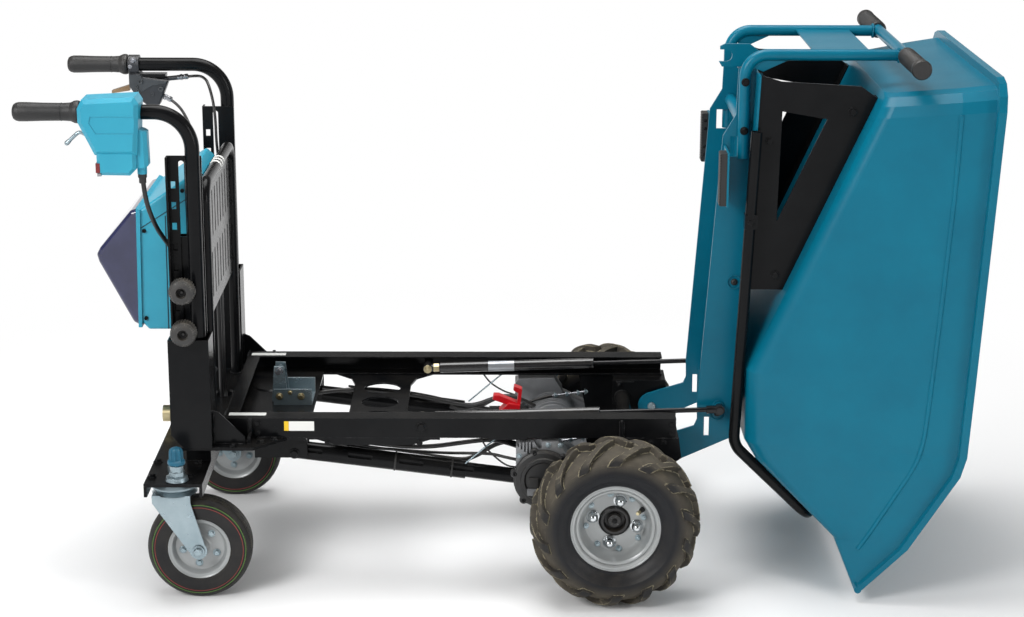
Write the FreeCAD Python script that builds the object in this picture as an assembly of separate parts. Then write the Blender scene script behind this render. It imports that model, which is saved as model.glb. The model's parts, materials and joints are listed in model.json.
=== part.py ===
import FreeCAD, Part
import math
import os

# Electric wheelbarrow: two-rail chassis on two drive wheels and two swivel
# casters, twin height-adjustable handles and a dump bucket hinged at the front.
# Lengths are millimetres, +X is forward, +Y the driver's left, +Z up.
# While a piece is drawn, x = 0 is the drive axle, y = 0 the middle plane and
# z = 0 the floor; write_node() moves the finished pieces so that the middle of
# the whole machine stands over the origin.

V = FreeCAD.Vector

# ---- fits and plate -------------------------------------------------------
GAP = 0.3                   # air between neighbouring pieces that do not move
FIT = 0.05                  # radial running clearance of pins and rods
STEP_OFF = 5.0              # air between pieces that move past each other
PLATE_T = 4.0
FLOOR_T = 6.0               # plate under the posts and of the caster beam
STRUT_STUD_R = 5.0

# ---- chassis rails --------------------------------------------------------
RAIL_REAR = -762.0
RAIL_FRONT = 122.0
RAIL_Y = 229.0              # outer face of the web
RAIL_Z0 = 303.0
RAIL_Z1 = 343.0
RAIL_T = 3.2
RAIL_FLANGE = 40.0
DECK_T = 3.0
DECK_TOP = RAIL_Z0 + RAIL_T + DECK_T
BRACE_Y = 185.0
POCKET_LENGTH = 47.0        # pressed pockets along the brace tubes

# ---- drive wheels ---------------------------------------------------------
DRIVE_R = 165.0             # 13 x 5.00-6 tyre
DRIVE_W = 125.0
DRIVE_Y = RAIL_Y + 91.5     # middle plane of the tyre
DRIVE_RIM_R = 87.6
DRIVE_RIM_HALF = 44.4
DRIVE_BED_R = 76.0          # rim bed that the tyre bead sits on
DRIVE_HUB_BACK = 20.0       # hub's inner face, behind the middle plane
AXLE_R = 12.0

# ---- drive units ----------------------------------------------------------
MOTOR_X = -112.0
MOTOR_RISE = 50.0           # motor axis above the wheel axle
FIN_R = 51.4
FIN_PITCH = 11.0
GEAR_Y1 = DRIVE_Y - DRIVE_W / 2 - 10
GEAR_Y0 = GEAR_Y1 - 43
COVER_X = -137.0            # round cover of the gearbox, beside the motor
COVER_RISE = 57.0
COVER_R = 59.0
COVER_Y = GEAR_Y1 - 14      # face that the cover is screwed to

# ---- casters --------------------------------------------------------------
CASTER_R = 102.0
CASTER_W = 54.0
CASTER_Y = RAIL_Y + 58
CASTER_X = -807.5           # wheel centre
SWIVEL_X = -854.0           # king pin
CASTER_RIM_R = 61.0
CASTER_AXLE_R = 6.0
KING_R = 8.0
FORK_TOP = 2 * CASTER_R + 20
BEAM_TOP = FORK_TOP + 30
LOCK_X = SWIVEL_X + 13      # swivel lock beside each king pin
LOCK_Y = CASTER_Y + 53

# ---- posts and handles ----------------------------------------------------
POST_X0 = -856.0
POST_X1 = -778.0
POST_Y0 = RAIL_Y + 1.5
POST_Y1 = POST_Y0 + 64.5
POST_TOP = 520.0
POST_T = 3.0
TONGUE_X0 = POST_X0 + 8
TONGUE_X1 = POST_X1 - 10
TONGUE_TOP = 714.0
TONGUE_Y1 = POST_Y0 + 25
SLIDE_FIT = 0.5             # air between a handle and the tongue it slides on
HANDLE_WEB_T = 4.0
HANDLE_WEB_Y = TONGUE_Y1 + SLIDE_FIT
HANDLE_TUBE_R = 14.0
HANDLE_Y = HANDLE_WEB_Y + HANDLE_WEB_T + HANDLE_TUBE_R - 0.3
HANDLE_X = -799.0           # upright stretch of the handle tube
HANDLE_Z = 957.0            # grips
HANDLE_BEND = 70.0
HANDLE_LOW = POST_TOP + 3
HANDLE_TRAVEL = 200.0
HANDLE_PLATE_TOP = HANDLE_Z - 86
CONTROL_OUT = (114.0, HANDLE_Y + 14, -114.0)    # where the cable leaves the control box, from the grip
CONTROL_FAR = HANDLE_Y - 20
CONTROL_FACE = HANDLE_Y + 46.3
CLAMP_X = -822.5
CLAMP_Z = (538.0, 620.0)
CLAMP_BOLT_R = 4.0
CLAMP_COLLAR_R = 6.5
GRIP_END_X = -1130.0        # rear end of the handle grips
GRIP_FRONT_X = -1005.0

# ---- load guard and battery -----------------------------------------------
GUARD_X = -789.0
GUARD_TOP = 802.0
GUARD_TUBE_R = 11.0
GUARD_Y = RAIL_Y - 26
BATTERY_FRONT = GUARD_X - 23 - GAP
BATTERY_HALF = 150.0
BATTERY_BACK = -933.0

# ---- cables ---------------------------------------------------------------
LOOM_X = -798.0             # the cables hang in the slit between battery box and load guard
LOOM_END_Z = 285.0
LOOM_HOLE_R = 18.0

# ---- bucket ---------------------------------------------------------------
HINGE_X = 98.0
HINGE_Z = 250.0
HINGE_R = 8.0
TIP_ANGLE = 90.0            # the bucket is drawn level, then tipped this far
SIDE_Y = 141.0              # inner face of the subframe side plates
SIDE_T = 5.0
BOSS_Y = SIDE_Y + SIDE_T + 2
WEB_HALF = 206.0            # half width of the subframe's top web
WEB_REAR = -667.0
WEB_SLOPE = -0.0392
CRADLE_Y = 222.0
BAR_X = -700.0              # dump handle bar, with the bucket level
BAR_Z = 700.0
BAR_HALF = 332.0
TUBE_R = 11.0               # dump handle and cradle tubing
TUBE_WALL = 2.0
STRIKER_PIN = (-674.0, 374.0)
STRIKER_PIN_R = 5.0
HOOK_HALF = 4.0             # half thickness of the latch hook

# ---- tub: x at the floor and rim, z of floor, crease and rim, half widths of the
# same three, radius of the lower corner; from the rear wall to the nose --------
TUB_T = 3.0
TUB = [
    (-641, -668, 651, 783, 858, 280, 322, 334, 30),
    (-97, -97, 408, 751, 828, 262, 322, 334, 40),
    (45, 45, 408, 741, 820, 262, 322, 334, 40),
    (84, 84, 431, 713, 809, 262, 320, 334, 40),
    (234, 234, 585, 634, 716, 280, 306, 330, 20),
    (317, 321, 619, 624, 633, 300, 309, 320, 2),
]
TUB_CORNER_R = 42.0         # upright corners of the rear wall
RIM_OUT = 13.0              # rim flange, beyond the wall
RIM_UP = 2.0

# ---- gas struts -----------------------------------------------------------
STRUT_Y = SIDE_Y + SIDE_T + 22
STRUT_PIN = (-377.0, 325.0)
STRUT_EYE = (212.0, 343.0)  # with the bucket tipped
STRUT_R = 11.0
STRUT_ROD_R = 5.0
STRUT_EYE_R = 10.0
STRUT_EYE_HALF = 7.0
STRUT_LENGTH = math.hypot(STRUT_EYE[0] - STRUT_PIN[0], STRUT_EYE[1] - STRUT_PIN[1])
STRUT_ANGLE = math.degrees(math.atan2(STRUT_EYE[1] - STRUT_PIN[1], STRUT_EYE[0] - STRUT_PIN[0]))

# ---- middle of the whole machine ------------------------------------------
RIM_FRONT_X = HINGE_X + TUB[0][4] + RIM_UP - HINGE_Z
MACHINE_SHIFT = -(GRIP_END_X + RIM_FRONT_X) / 2


# ---- shape helpers --------------------------------------------------------
def box(x0, x1, y0, y1, z0, z1):
    return Part.makeBox(x1 - x0, y1 - y0, z1 - z0, V(x0, y0, z0))


def rod(p, q, r):
    p, q = V(*p), V(*q)
    return Part.makeCylinder(r, (q - p).Length, p, q - p)


def along_x(y, z, r, x0, x1):
    return Part.makeCylinder(r, x1 - x0, V(x0, y, z), V(1, 0, 0))


def along_y(x, z, r, y0, y1):
    return Part.makeCylinder(r, y1 - y0, V(x, y0, z), V(0, 1, 0))


def along_z(x, y, r, z0, z1):
    return Part.makeCylinder(r, z1 - z0, V(x, y, z0), V(0, 0, 1))


def cone_z(x, y, r0, r1, z0, z1):
    return Part.makeCone(r0, r1, z1 - z0, V(x, y, z0), V(0, 0, 1))


def plate_xz(points, y0, y1):
    wire = Part.makePolygon([V(x, y0, z) for x, z in points + points[:1]])
    return Part.Face(wire).extrude(V(0, y1 - y0, 0))


def plate_xy(points, z0, z1):
    wire = Part.makePolygon([V(x, y, z0) for x, y in points + points[:1]])
    return Part.Face(wire).extrude(V(0, 0, z1 - z0))


def placed(x, z, outline):
    """Outline drawn about a point, moved to that point."""
    return [(x + dx, z + dz) for dx, dz in outline]


def slot_xz(x, z0, z1, w, y0, y1):
    """Upright slot with round ends, cut along y."""
    r = w / 2
    body = box(x - r, x + r, y0, y1, z0 + r, z1 - r)
    return body.fuse([along_y(x, z0 + r, r, y0, y1), along_y(x, z1 - r, r, y0, y1)])


def join(first, *others):
    return first.fuse(list(others)).removeSplitter()


def less(first, *others):
    return first.cut(list(others))


def mirrored(shape):
    return shape.mirror(V(0, 0, 0), V(0, 1, 0))


def both(shape):
    return Part.makeCompound([shape, mirrored(shape)])


def bent_path(points, radius):
    """Straight runs through the points, joined by tangent arcs."""
    pts = [V(*p) for p in points]
    radii = radius if isinstance(radius, list) else [radius] * (len(pts) - 2)
    edges = []
    start = pts[0]
    for before, corner, after, r in zip(pts, pts[1:], pts[2:], radii):
        a = (before - corner).normalize()
        b = (after - corner).normalize()
        half = a.getAngle(b) / 2
        p = corner + a * (r / math.tan(half))
        q = corner + b * (r / math.tan(half))
        mid = corner + (a + b).normalize() * (r / math.sin(half) - r)
        edges.append(Part.makeLine(start, p))
        edges.append(Part.Arc(p, mid, q).toShape())
        start = q
    edges.append(Part.makeLine(start, pts[-1]))
    return Part.Wire(edges)


def bent_rod(points, radius, r):
    path = bent_path(points, radius)
    start = V(*points[0])
    ring = Part.Wire([Part.makeCircle(r, start, V(*points[1]) - start)])
    return path.makePipeShell([ring], True, True)


def bent_tube(points, radius, r, wall):
    return bent_rod(points, radius, r).cut(bent_rod(points, radius, r - wall))


def cable(points, r):
    """Cable along the points, each bend as large as its two runs allow."""
    pts = [V(*p) for p in points]
    radii = []
    for a, b, c in zip(pts, pts[1:], pts[2:]):
        u, v = b - a, c - b
        radii.append(0.45 * min(u.Length, v.Length) / math.tan(u.getAngle(v) / 2))
    print("cable bend radii, mm:", [round(x) for x in radii])
    return bent_rod(points, radii, r)


def turned(points, x, y, z):
    """Closed outline of (radius, y) pairs turned about the y-parallel axis through x, y, z."""
    wire = Part.makePolygon([V(x + r, y + d, z) for r, d in points + points[:1]])
    return Part.Face(wire).revolve(V(x, y, z), V(0, 1, 0), 360)


def turned_x(outline):
    """Outline of (x, radius) pairs turned about the x axis."""
    wire = Part.makePolygon([V(x, 0, r) for x, r in outline + outline[:1]])
    return Part.Face(wire).revolve(V(0, 0, 0), V(1, 0, 0), 360)


def softened(shape, r, keep_flat):
    """Edges rounded, except those that lie wholly beyond x = keep_flat."""
    return shape.makeFillet(r, [e for e in shape.Edges if e.BoundBox.XMin < keep_flat])


def tipped(shape):
    out = shape.copy()
    out.rotate(V(HINGE_X, 0, HINGE_Z), V(0, 1, 0), TIP_ANGLE)
    return out


def level_place(x, z):
    """Where a point of the tipped bucket lies while the bucket is level."""
    return HINGE_X + HINGE_Z - z, HINGE_Z - HINGE_X + x


def write_node(name, shape):
    out = shape.copy()
    out.translate(V(MACHINE_SHIFT, 0, 0))
    out.exportStep(os.path.join("parts", name + ".step"))


# ---- chassis --------------------------------------------------------------
def rail():
    inner = RAIL_Y - RAIL_FLANGE
    hollow = box(RAIL_REAR - 1, RAIL_FRONT + 1, inner - 1, RAIL_Y - RAIL_T, RAIL_Z0 + RAIL_T, RAIL_Z1 - RAIL_T)
    channel = less(box(RAIL_REAR, RAIL_FRONT, inner, RAIL_Y, RAIL_Z0, RAIL_Z1), hollow)
    x, z = STRUT_PIN
    stud = along_y(x, z, STRUT_STUD_R, STRUT_Y - STRUT_EYE_HALF - 3, RAIL_Y - 1)
    collar = along_y(x, z, STRUT_STUD_R + 4, STRUT_Y + STRUT_EYE_HALF + 1, RAIL_Y - 1)
    rib = along_z(16, RAIL_Y + 2.5, 3, RAIL_Z0, RAIL_Z1 - 4)
    return join(channel, stud, collar, rib)


def rails():
    left = rail()
    shelf = box(-245, -170, -RAIL_Y, -25, RAIL_Z0 - PLATE_T, RAIL_Z0)
    return Part.makeCompound([left, join(mirrored(left), shelf)])


def rear_deck():
    inner = RAIL_Y - RAIL_T - GAP
    z0 = DECK_TOP - DECK_T
    sheet = box(RAIL_REAR, -600, -inner, inner, z0, DECK_TOP)
    boss = cone_z(-700, 94, 46, 41, DECK_TOP - 1, DECK_TOP + 3)
    step = RAIL_Y - RAIL_FLANGE - GAP
    upright = box(RAIL_REAR, RAIL_REAR + 4, -step, step, z0, RAIL_Z1)
    lip = box(RAIL_REAR, RAIL_REAR + 26, -step, step, RAIL_Z1 - 4, RAIL_Z1)
    return join(sheet, boss, upright, lip)


def cross_plate():
    w, waist = RAIL_Y, RAIL_Y - 61
    outline = [(-600, w), (-540, waist), (-529, waist - 48), (-529, 48 - waist), (-540, -waist), (-600, -w),
               (-340, -w), (-400, -waist), (-411, 48 - waist), (-411, waist - 48), (-400, waist), (-340, w)]
    plate = plate_xy(outline, RAIL_Z0 - PLATE_T, RAIL_Z0)
    holes = [along_z(-470, y, 38, RAIL_Z0 - 9, RAIL_Z0 + 9) for y in (-96, 0, 96)]
    skirt = plate_xz(placed(-470, RAIL_Z0, [(-120, -1), (-75, -15), (75, -15), (120, -1)]), w - PLATE_T, w)
    return less(join(plate, skirt, mirrored(skirt)), *holes)


def front_frame():
    y0 = BOSS_Y + 5
    top = RAIL_Z0
    ear = plate_xz([(16, top), (128, top)] + placed(HINGE_X, HINGE_Z, [(30, 12), (20, -18), (0, -26), (-22, -18),
                                                                       (-82, 0)]), y0, y0 + 6)
    boss = along_y(HINGE_X, HINGE_Z, 18, BOSS_Y, BOSS_Y + 14)
    foot = box(18, 128, y0, RAIL_Y, top - PLATE_T, top)
    skirt = plate_xz([(18, top), (128, top)] + placed(HINGE_X, HINGE_Z, [(36, 12), (22, 2), (-80, 18)]),
                     RAIL_Y - PLATE_T, RAIL_Y)
    side = join(ear, boss, foot, skirt)
    tube = along_y(36, HINGE_Z + 15, 15, -y0 - 1, y0 + 1)
    hole = along_y(HINGE_X, HINGE_Z, HINGE_R + FIT, -y0 - 20, y0 + 20)
    return less(join(tube, side, mirrored(side)), hole)


def post():
    t = POST_T
    lower = plate_xz([(POST_X0, POST_TOP), (POST_X0, RAIL_Z0 + 27), (POST_X0 + 24, RAIL_Z0), (POST_X1, RAIL_Z0),
                      (POST_X1, POST_TOP)], POST_Y0, POST_Y1)
    inside = plate_xz([(POST_X0 + t, POST_TOP + 1), (POST_X0 + t, RAIL_Z0 + 28), (POST_X0 + 25, RAIL_Z0 + 1),
                       (POST_X1 - t, RAIL_Z0 + 1), (POST_X1 - t, POST_TOP + 1)], POST_Y0 + t, POST_Y1 - t)
    tongue = less(box(TONGUE_X0, TONGUE_X1, POST_Y0, TONGUE_Y1, POST_TOP - 40, TONGUE_TOP),
                  box(TONGUE_X0 + t, TONGUE_X1 - t, POST_Y0 + t, TONGUE_Y1 - t, POST_TOP - 41, TONGUE_TOP + 1))
    x0, x1, y0, y1 = POST_X0 + 18, -602, BRACE_Y - 25, POST_Y1 - 5
    foot = plate_xy([(x0, y1), (x0, y0), (x1, y0), (x1, RAIL_Y), (x1 - 38, RAIL_Y), (x1 - 98, y1)],
                    RAIL_Z0 - FLOOR_T, RAIL_Z0)
    clevis = [box(x1 - 104, x1, y, y + 4, RAIL_Z0 - 48, RAIL_Z0 - FLOOR_T + 1) for y in (y0, BRACE_Y + 21)]
    gusset = plate_xz([(POST_X1 - 1, RAIL_Z0 - 1), (POST_X1 - 1, RAIL_Z0 + 69), (POST_X1 + 13, RAIL_Z0 + 63),
                       (POST_X1 + 61, RAIL_Z0 + 15), (POST_X1 + 61, RAIL_Z0 - 1)], y1 - 25, y1 - 21)
    knee = box(-713, -707, RAIL_Y + GAP, RAIL_Y + 10, RAIL_Z0 - 1, RAIL_Z1)
    knee = knee.fuse(box(-713, -707, RAIL_Y + 9, RAIL_Y + 36, RAIL_Z0 - 1, RAIL_Z0 + 14))
    bolts = [along_y(CLAMP_X, z, CLAMP_BOLT_R + FIT, TONGUE_Y1 - 5, TONGUE_Y1 + 1) for z in CLAMP_Z]
    return less(join(less(lower, inside), tongue, foot, gusset, knee, *clevis), *bolts)


def post_frame():
    left = post()
    z0, z1 = RAIL_Z0 - FLOOR_T, RAIL_Z0
    floor = box(POST_X0 + 18, RAIL_REAR, 24 - BRACE_Y, BRACE_Y - 24, z0, z1)
    r, y0, y1 = LOOM_HOLE_R, 52, 71
    hole = join(along_z(LOOM_X, y0, r, z0 - 5, z1 + 5), along_z(LOOM_X, y1, r, z0 - 5, z1 + 5),
                box(LOOM_X - r, LOOM_X + r, y0, y1, z0 - 5, z1 + 5))
    return less(join(left, mirrored(left), floor), hole)


def caster_beam():
    x0, x1, z1, w = SWIVEL_X - 48, SWIVEL_X + 64, BEAM_TOP, CASTER_Y + 76
    top = box(x0, x1, -w, w, z1 - FLOOR_T, z1)
    rear = box(x0, x0 + FLOOR_T, -w, w, z1 - 26, z1)
    front = box(x1 - FLOOR_T, x1, -w, w, z1 - 26, z1)
    y0, y1, z2 = BRACE_Y - 20, BRACE_Y + 40, RAIL_Z0 - FLOOR_T
    riser = less(box(x1 - 48, x1, y0, y1, z1 - 1, z2), box(x1 - 44, x1 - 4, y0 + 4, y1 - 4, z1 - 2, z2 + 1))
    kings = [along_z(SWIVEL_X, s * CASTER_Y, KING_R + 4.3, z1 - 14, z1 + 6) for s in (-1, 1)]
    notch = box(LOOM_X - 14, x1 + 1, 35, 88, z1 - 30, z1 + 1)
    return less(join(top, rear, front, riser, mirrored(riser)), notch, *kings)


def caster_heads():
    z = BEAM_TOP - FLOOR_T - GAP
    x, y = SWIVEL_X, CASTER_Y
    plate = box(x - 41, x + 57, y - 55, y + 55, z - 6, z)
    race = cone_z(x, y, 34, 42, z - 15, z - 6)
    king = along_z(x, y, KING_R, FORK_TOP - 18, BEAM_TOP + 8)
    nut = along_z(x, y, KING_R + 4, z - 0.7, BEAM_TOP + 10)
    head = join(plate, race, king, nut)
    lock = join(along_z(LOCK_X, LOCK_Y, 20, BEAM_TOP + GAP, BEAM_TOP + 8),
                along_z(LOCK_X, LOCK_Y, 13, BEAM_TOP + 6, BEAM_TOP + 31))
    return Part.makeCompound([head, mirrored(head), lock, mirrored(lock)])


def lock_knobs():
    z = BEAM_TOP + 31 + GAP
    knob = cone_z(LOCK_X, LOCK_Y, 17, 13, z, z + 37)
    return both(knob.makeFillet(5, [e for e in knob.Edges if e.BoundBox.ZMin > z + 36]))


def striker():
    z = DECK_TOP
    base = box(-684, -606, -42, 42, z, z + 3)
    wall = box(-684, -606, 39, 42, z, z + 34)
    x, top = STRIKER_PIN[0], STRIKER_PIN[1] + 10
    cheek = plate_xz([(x - 16, z), (x + 18, z), (x + 10, top), (x - 10, top)], 14, 18)
    pin = along_y(*STRIKER_PIN, STRIKER_PIN_R, -20, 20)
    return join(base, wall, mirrored(wall), cheek, mirrored(cheek), pin)


def load_guard():
    x, y, z = GUARD_X, GUARD_Y, GUARD_TOP
    ring = [(x, y, RAIL_Z0), (x, y, z), (x, -y, z), (x, -y, RAIL_Z0)]
    loop = bent_tube(ring, 38, GUARD_TUBE_R, 2)
    sheet = box(x - 1, x + 1, 10 - y, y - 10, z - 270, z - 10)
    pitch = 40
    slots = [box(x - 3, x + 3, i * pitch - 5, i * pitch + 5, z - 242, z - 152) for i in range(-4, 5)]
    slots += [box(x - 3, x + 3, (i + 0.5) * pitch - 5, (i + 0.5) * pitch + 5, z - 122, z - 32) for i in range(-4, 4)]
    pads = [along_x(s * 100, zz, 6, BATTERY_FRONT + GAP, x) for s in (-1, 1) for zz in (z - 137, z - 42)]
    return join(less(sheet, *slots), loop, *pads)


def battery_box():
    x1 = BATTERY_FRONT
    outline = [(x1, 500), (x1, 790), (-828, 806), (-928, 738), (-932, 520), (-914, 500)]
    body = softened(plate_xz(outline, -BATTERY_HALF, BATTERY_HALF), 7, x1 - 1)
    x, w = BATTERY_BACK, BATTERY_HALF + 5
    flange = plate_xz([(x, 506), (x + 7, 506), (x + 12, 742), (x + 4, 746)], -w, w)
    return join(body, flange)


def battery_cover():
    x, w = BATTERY_BACK - GAP, BATTERY_HALF - 2
    outer = plate_xz([(x, 508), (x + 4, 742), (-942, 738), (-1004, 664), (-1011, 651), (-1007, 636), (-944, 514)],
                     -w, w)
    outer = softened(outer, 9, x - 1)
    inner = plate_xz([(x + 1, 514), (x + 5, 732), (-941, 733), (-1001, 661), (-1007, 651), (-1004, 638),
                      (-943, 519)], 3 - w, w - 3)
    return less(outer, inner)


def clamp_knobs():
    y0, y1 = HANDLE_WEB_Y + HANDLE_WEB_T + SLIDE_FIT, POST_Y1 + 2
    knobs = []
    for z in CLAMP_Z:
        bolt = along_y(CLAMP_X, z, CLAMP_BOLT_R, TONGUE_Y1 - 4, y1 + 3)
        spacer = along_y(CLAMP_X, z, CLAMP_COLLAR_R, y0, y1 + 1)
        head = less(along_y(CLAMP_X, z, 26, y1, y1 + 26), along_y(CLAMP_X, z, 9, y1 + 15, y1 + 27))
        knob = join(bolt, spacer, head)
        knobs += [knob, mirrored(knob)]
    return Part.makeCompound(knobs)


def brace_tubes():
    y = BRACE_Y
    p, m, q = (-640, y, RAIL_Z0 - 37), (-290, y, 222), (-182, y, 208)
    pin = along_y(-628, RAIL_Z0 - 39, 6, y - 21 + GAP, y + 21 - GAP)
    fork = box(-205, -160, y - 4 - GAP, y + 4 + GAP, 180, 240)
    gusset = plate_xz([(-197, 207), (-178, 160), (-166, 157), (-166, 212)], y + 11, GEAR_Y0 - GAP)
    fall = (p[2] - m[2]) / (m[0] - p[0])
    pockets = []
    for x in (-621, -523, -422, -322):
        low = p[2] - fall * (x - p[0]) + 2
        end = low - POCKET_LENGTH * fall
        pockets.append(plate_xz([(x, low), (x + POCKET_LENGTH, end), (x + POCKET_LENGTH, end + 8), (x, low + 8)],
                                y + 11, y + 19))
    return both(less(join(rod(p, m, 18), rod(m, q, 15), pin, gusset), fork, *pockets))


def drive_units():
    z0, z1 = DRIVE_R, DRIVE_R + MOTOR_RISE
    motor = along_y(MOTOR_X, z1, 46, GEAR_Y0 - 95, GEAR_Y0 + 1)
    fins = [along_y(MOTOR_X, z1, FIN_R, y, y + 4) for y in [GEAR_Y0 - 88 + FIN_PITCH * i for i in range(8)]]
    zc, r = z0 + COVER_RISE, COVER_R - 2
    case = plate_xz([(COVER_X + 22, zc + 52), (17, z0 + 40), (-17, z0 - 40), (COVER_X - 22, zc - 52)],
                    GEAR_Y0, COVER_Y)
    casing = join(along_y(COVER_X, zc, r, GEAR_Y0, COVER_Y), along_y(0, z0, 44, GEAR_Y0, GEAR_Y1), case)
    head = plate_xz([(-191, 236), (-191, 286), (-184, 295), (-140, 297), (-108, 297), (-90, 268), (-90, 236)],
                    GEAR_Y0 - 20, COVER_Y)
    grooves = [box(x, x + 3, COVER_Y - 12, COVER_Y + 1, z, 298)
               for x, z in ((-188, 286), (-181.5, 281), (-175, 276), (-168.5, 271), (-162, 266))]
    valley = plate_xz([(-157, 298), (-146, 282), (-141, 282), (-141, 298)], COVER_Y - 16, COVER_Y + 1)
    end = DRIVE_Y - DRIVE_HUB_BACK - 3.5
    stub = along_y(0, z0, 20, GEAR_Y1 - 1, end)
    axle = along_y(0, z0, AXLE_R, end - 7, DRIVE_Y - 3)
    lug = plate_xz([(-200, 200), (-200, 222), (MOTOR_X - 20, z1 + 15), (MOTOR_X - 20, z1 - 25)],
                   BRACE_Y - 4, BRACE_Y + 4)
    return both(less(join(motor, *fins, casing, head, stub, axle, lug), *grooves, valley))


def gear_covers():
    y, z = COVER_Y + GAP, DRIVE_R + COVER_RISE
    dish = turned([(0, 0), (COVER_R, 0), (COVER_R, 9), (COVER_R - 4, 12), (COVER_R - 13, 12), (COVER_R - 15, 16),
                   (COVER_R - 21, 16), (COVER_R - 24, 12), (0, 12)], COVER_X, y, z)
    return both(dish)


def axle_beam():
    z, top = DRIVE_R, RAIL_Z0
    beam = box(-25, 25, GAP - GEAR_Y0, GEAR_Y0 - GAP, z - 25, z + 25)
    low = top - PLATE_T - GAP
    hanger = plate_xz([(-55, top), (18 - GAP, top), (18 - GAP, low), (40, low), (24, z - 23), (-24, z - 23)],
                      GEAR_Y0 - 9, GEAR_Y0 - 3)
    return join(beam, hanger, mirrored(hanger))


def release_lever():
    x, z = -225, RAIL_Z0
    base = plate_xz(placed(x, z, [(0, 0), (43, 0), (43, 15), (20, 19)]), -70, -34)
    arm = plate_xz(placed(x, z, [(20, 9), (43, 9), (47, 47), (31, 53), (29, 45), (39, 39), (37, 19)]), -62, -42)
    tongue = plate_xz(placed(x, z, [(-13, 25), (-11, 34), (0, 34), (35, 19), (33, 9)]), -62, -42)
    return join(base, arm, tongue)


def hitch_pin():
    z, x = BEAM_TOP + 24, POST_X0 + 18
    return join(along_x(0, z, 8, x - 78, x), along_x(0, z, 17, x - 78, x - 62), along_x(0, z, 12, x - 62, x - 52),
                box(x - 8, x, -20, 20, BEAM_TOP, BEAM_TOP + 38))


def hinge_pins():
    boss_end = BOSS_Y + 14
    pin = join(along_y(HINGE_X, HINGE_Z, HINGE_R, SIDE_Y - 7, boss_end + 4),
               along_y(HINGE_X, HINGE_Z, HINGE_R + 4, boss_end + GAP, boss_end + 6))
    return both(pin)


# ---- handles --------------------------------------------------------------
def handle_frame():
    y, r = HANDLE_Y, HANDLE_TUBE_R
    tube = bent_tube([(GRIP_END_X + 6, y, HANDLE_Z), (HANDLE_X, y, HANDLE_Z), (HANDLE_X, y, HANDLE_LOW)],
                     HANDLE_BEND, r, 2.5)
    x0, x1, w0, w1 = HANDLE_X - 51, HANDLE_X + 15, HANDLE_WEB_Y, HANDLE_WEB_Y + HANDLE_WEB_T
    low, top = HANDLE_LOW, HANDLE_PLATE_TOP
    web = plate_xz([(x0, low + 18), (x0 + 15, low), (x1, low), (x1, top), (x0, top)], w0, w1)
    flange = box(x0, x0 + 3.5, w0, w0 + 24, low + 18, top)
    slot = slot_xz(CLAMP_X, CLAMP_Z[0] - 8, CLAMP_Z[1] + HANDLE_TRAVEL + 42, 11, w0 - 1, w1 + 1)
    squares = [box(x0 + 6.5, x0 + 15.5, w0 - 1, w1 + 1, top - 63 - 40 * i, top - 49 - 40 * i) for i in range(7)]
    return join(tube, less(join(web, flange), slot, *squares))


def grip():
    r, n = HANDLE_TUBE_R, GRIP_FRONT_X - GRIP_END_X
    body = turned_x([(0, 0), (0, 9), (2, 13.5), (6, 16.5), (12, r + 4), (26, r + 4), (56, r + 3), (n - 30, r + 2.6),
                     (n - 17, r + 3.4), (n - 9, r + 7), (n - 4, r + 7.5), (n, r + 6.5), (n, r + GAP),
                     (5.5, r + GAP), (5.5, 0)])
    return body.translated(V(GRIP_END_X, HANDLE_Y, HANDLE_Z))


def on_handle(outline):
    """Outline drawn from the grip's front end on the handle's axis."""
    return placed(GRIP_FRONT_X, HANDLE_Z, outline)


def control_box():
    y, far, face = HANDLE_Y, CONTROL_FAR, CONTROL_FACE
    body = plate_xz(on_handle([(2, 13), (11, 30), (108, 35), (116, 22), (110, -74), (31, -74), (2, -13)]), far, face)
    body = body.makeChamfer(8, [e for e in body.Edges if e.BoundBox.YMin > face - 1])
    body = body.makeChamfer(4, [e for e in body.Edges if e.BoundBox.YMax < far + 1])
    tray = plate_xz(on_handle([(34, -66), (34, -112), (95, -113), (107, -101), (107, -66)]), far + 6, face - 3)
    tray = tray.makeChamfer(6, [e for e in tray.Edges if e.BoundBox.YMin > face - 4])
    panel = plate_xz(on_handle([(27, -1), (125, -1), (125, -33), (36, -33), (24, -13)]), face - 1.3, face + 1)
    pod = plate_xz(on_handle([(100, -30), (112, -28), (127, -33), (128, -96), (124, -100), (100, -100)]),
                   y - 4, y + 32)
    pod = pod.makeChamfer(7, [e for e in pod.Edges if e.BoundBox.XMin > GRIP_FRONT_X + 123 and e.Length > 40])
    dx, neck_y, dz = CONTROL_OUT
    neck = along_z(GRIP_FRONT_X + dx, neck_y, 9, HANDLE_Z + dz, HANDLE_Z - 99)
    bore = along_x(y, HANDLE_Z, HANDLE_TUBE_R + GAP, GRIP_FRONT_X - 15, GRIP_FRONT_X + 135)
    return mirrored(less(join(body, tray, pod, neck), panel, bore))


def speed_lever():
    path = on_handle([(16.4, -51.1), (-5, -39), (-29, -61)])
    return bent_rod([(x, 11.7 - HANDLE_Y, z) for x, z in path], 10, 3.5)


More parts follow.
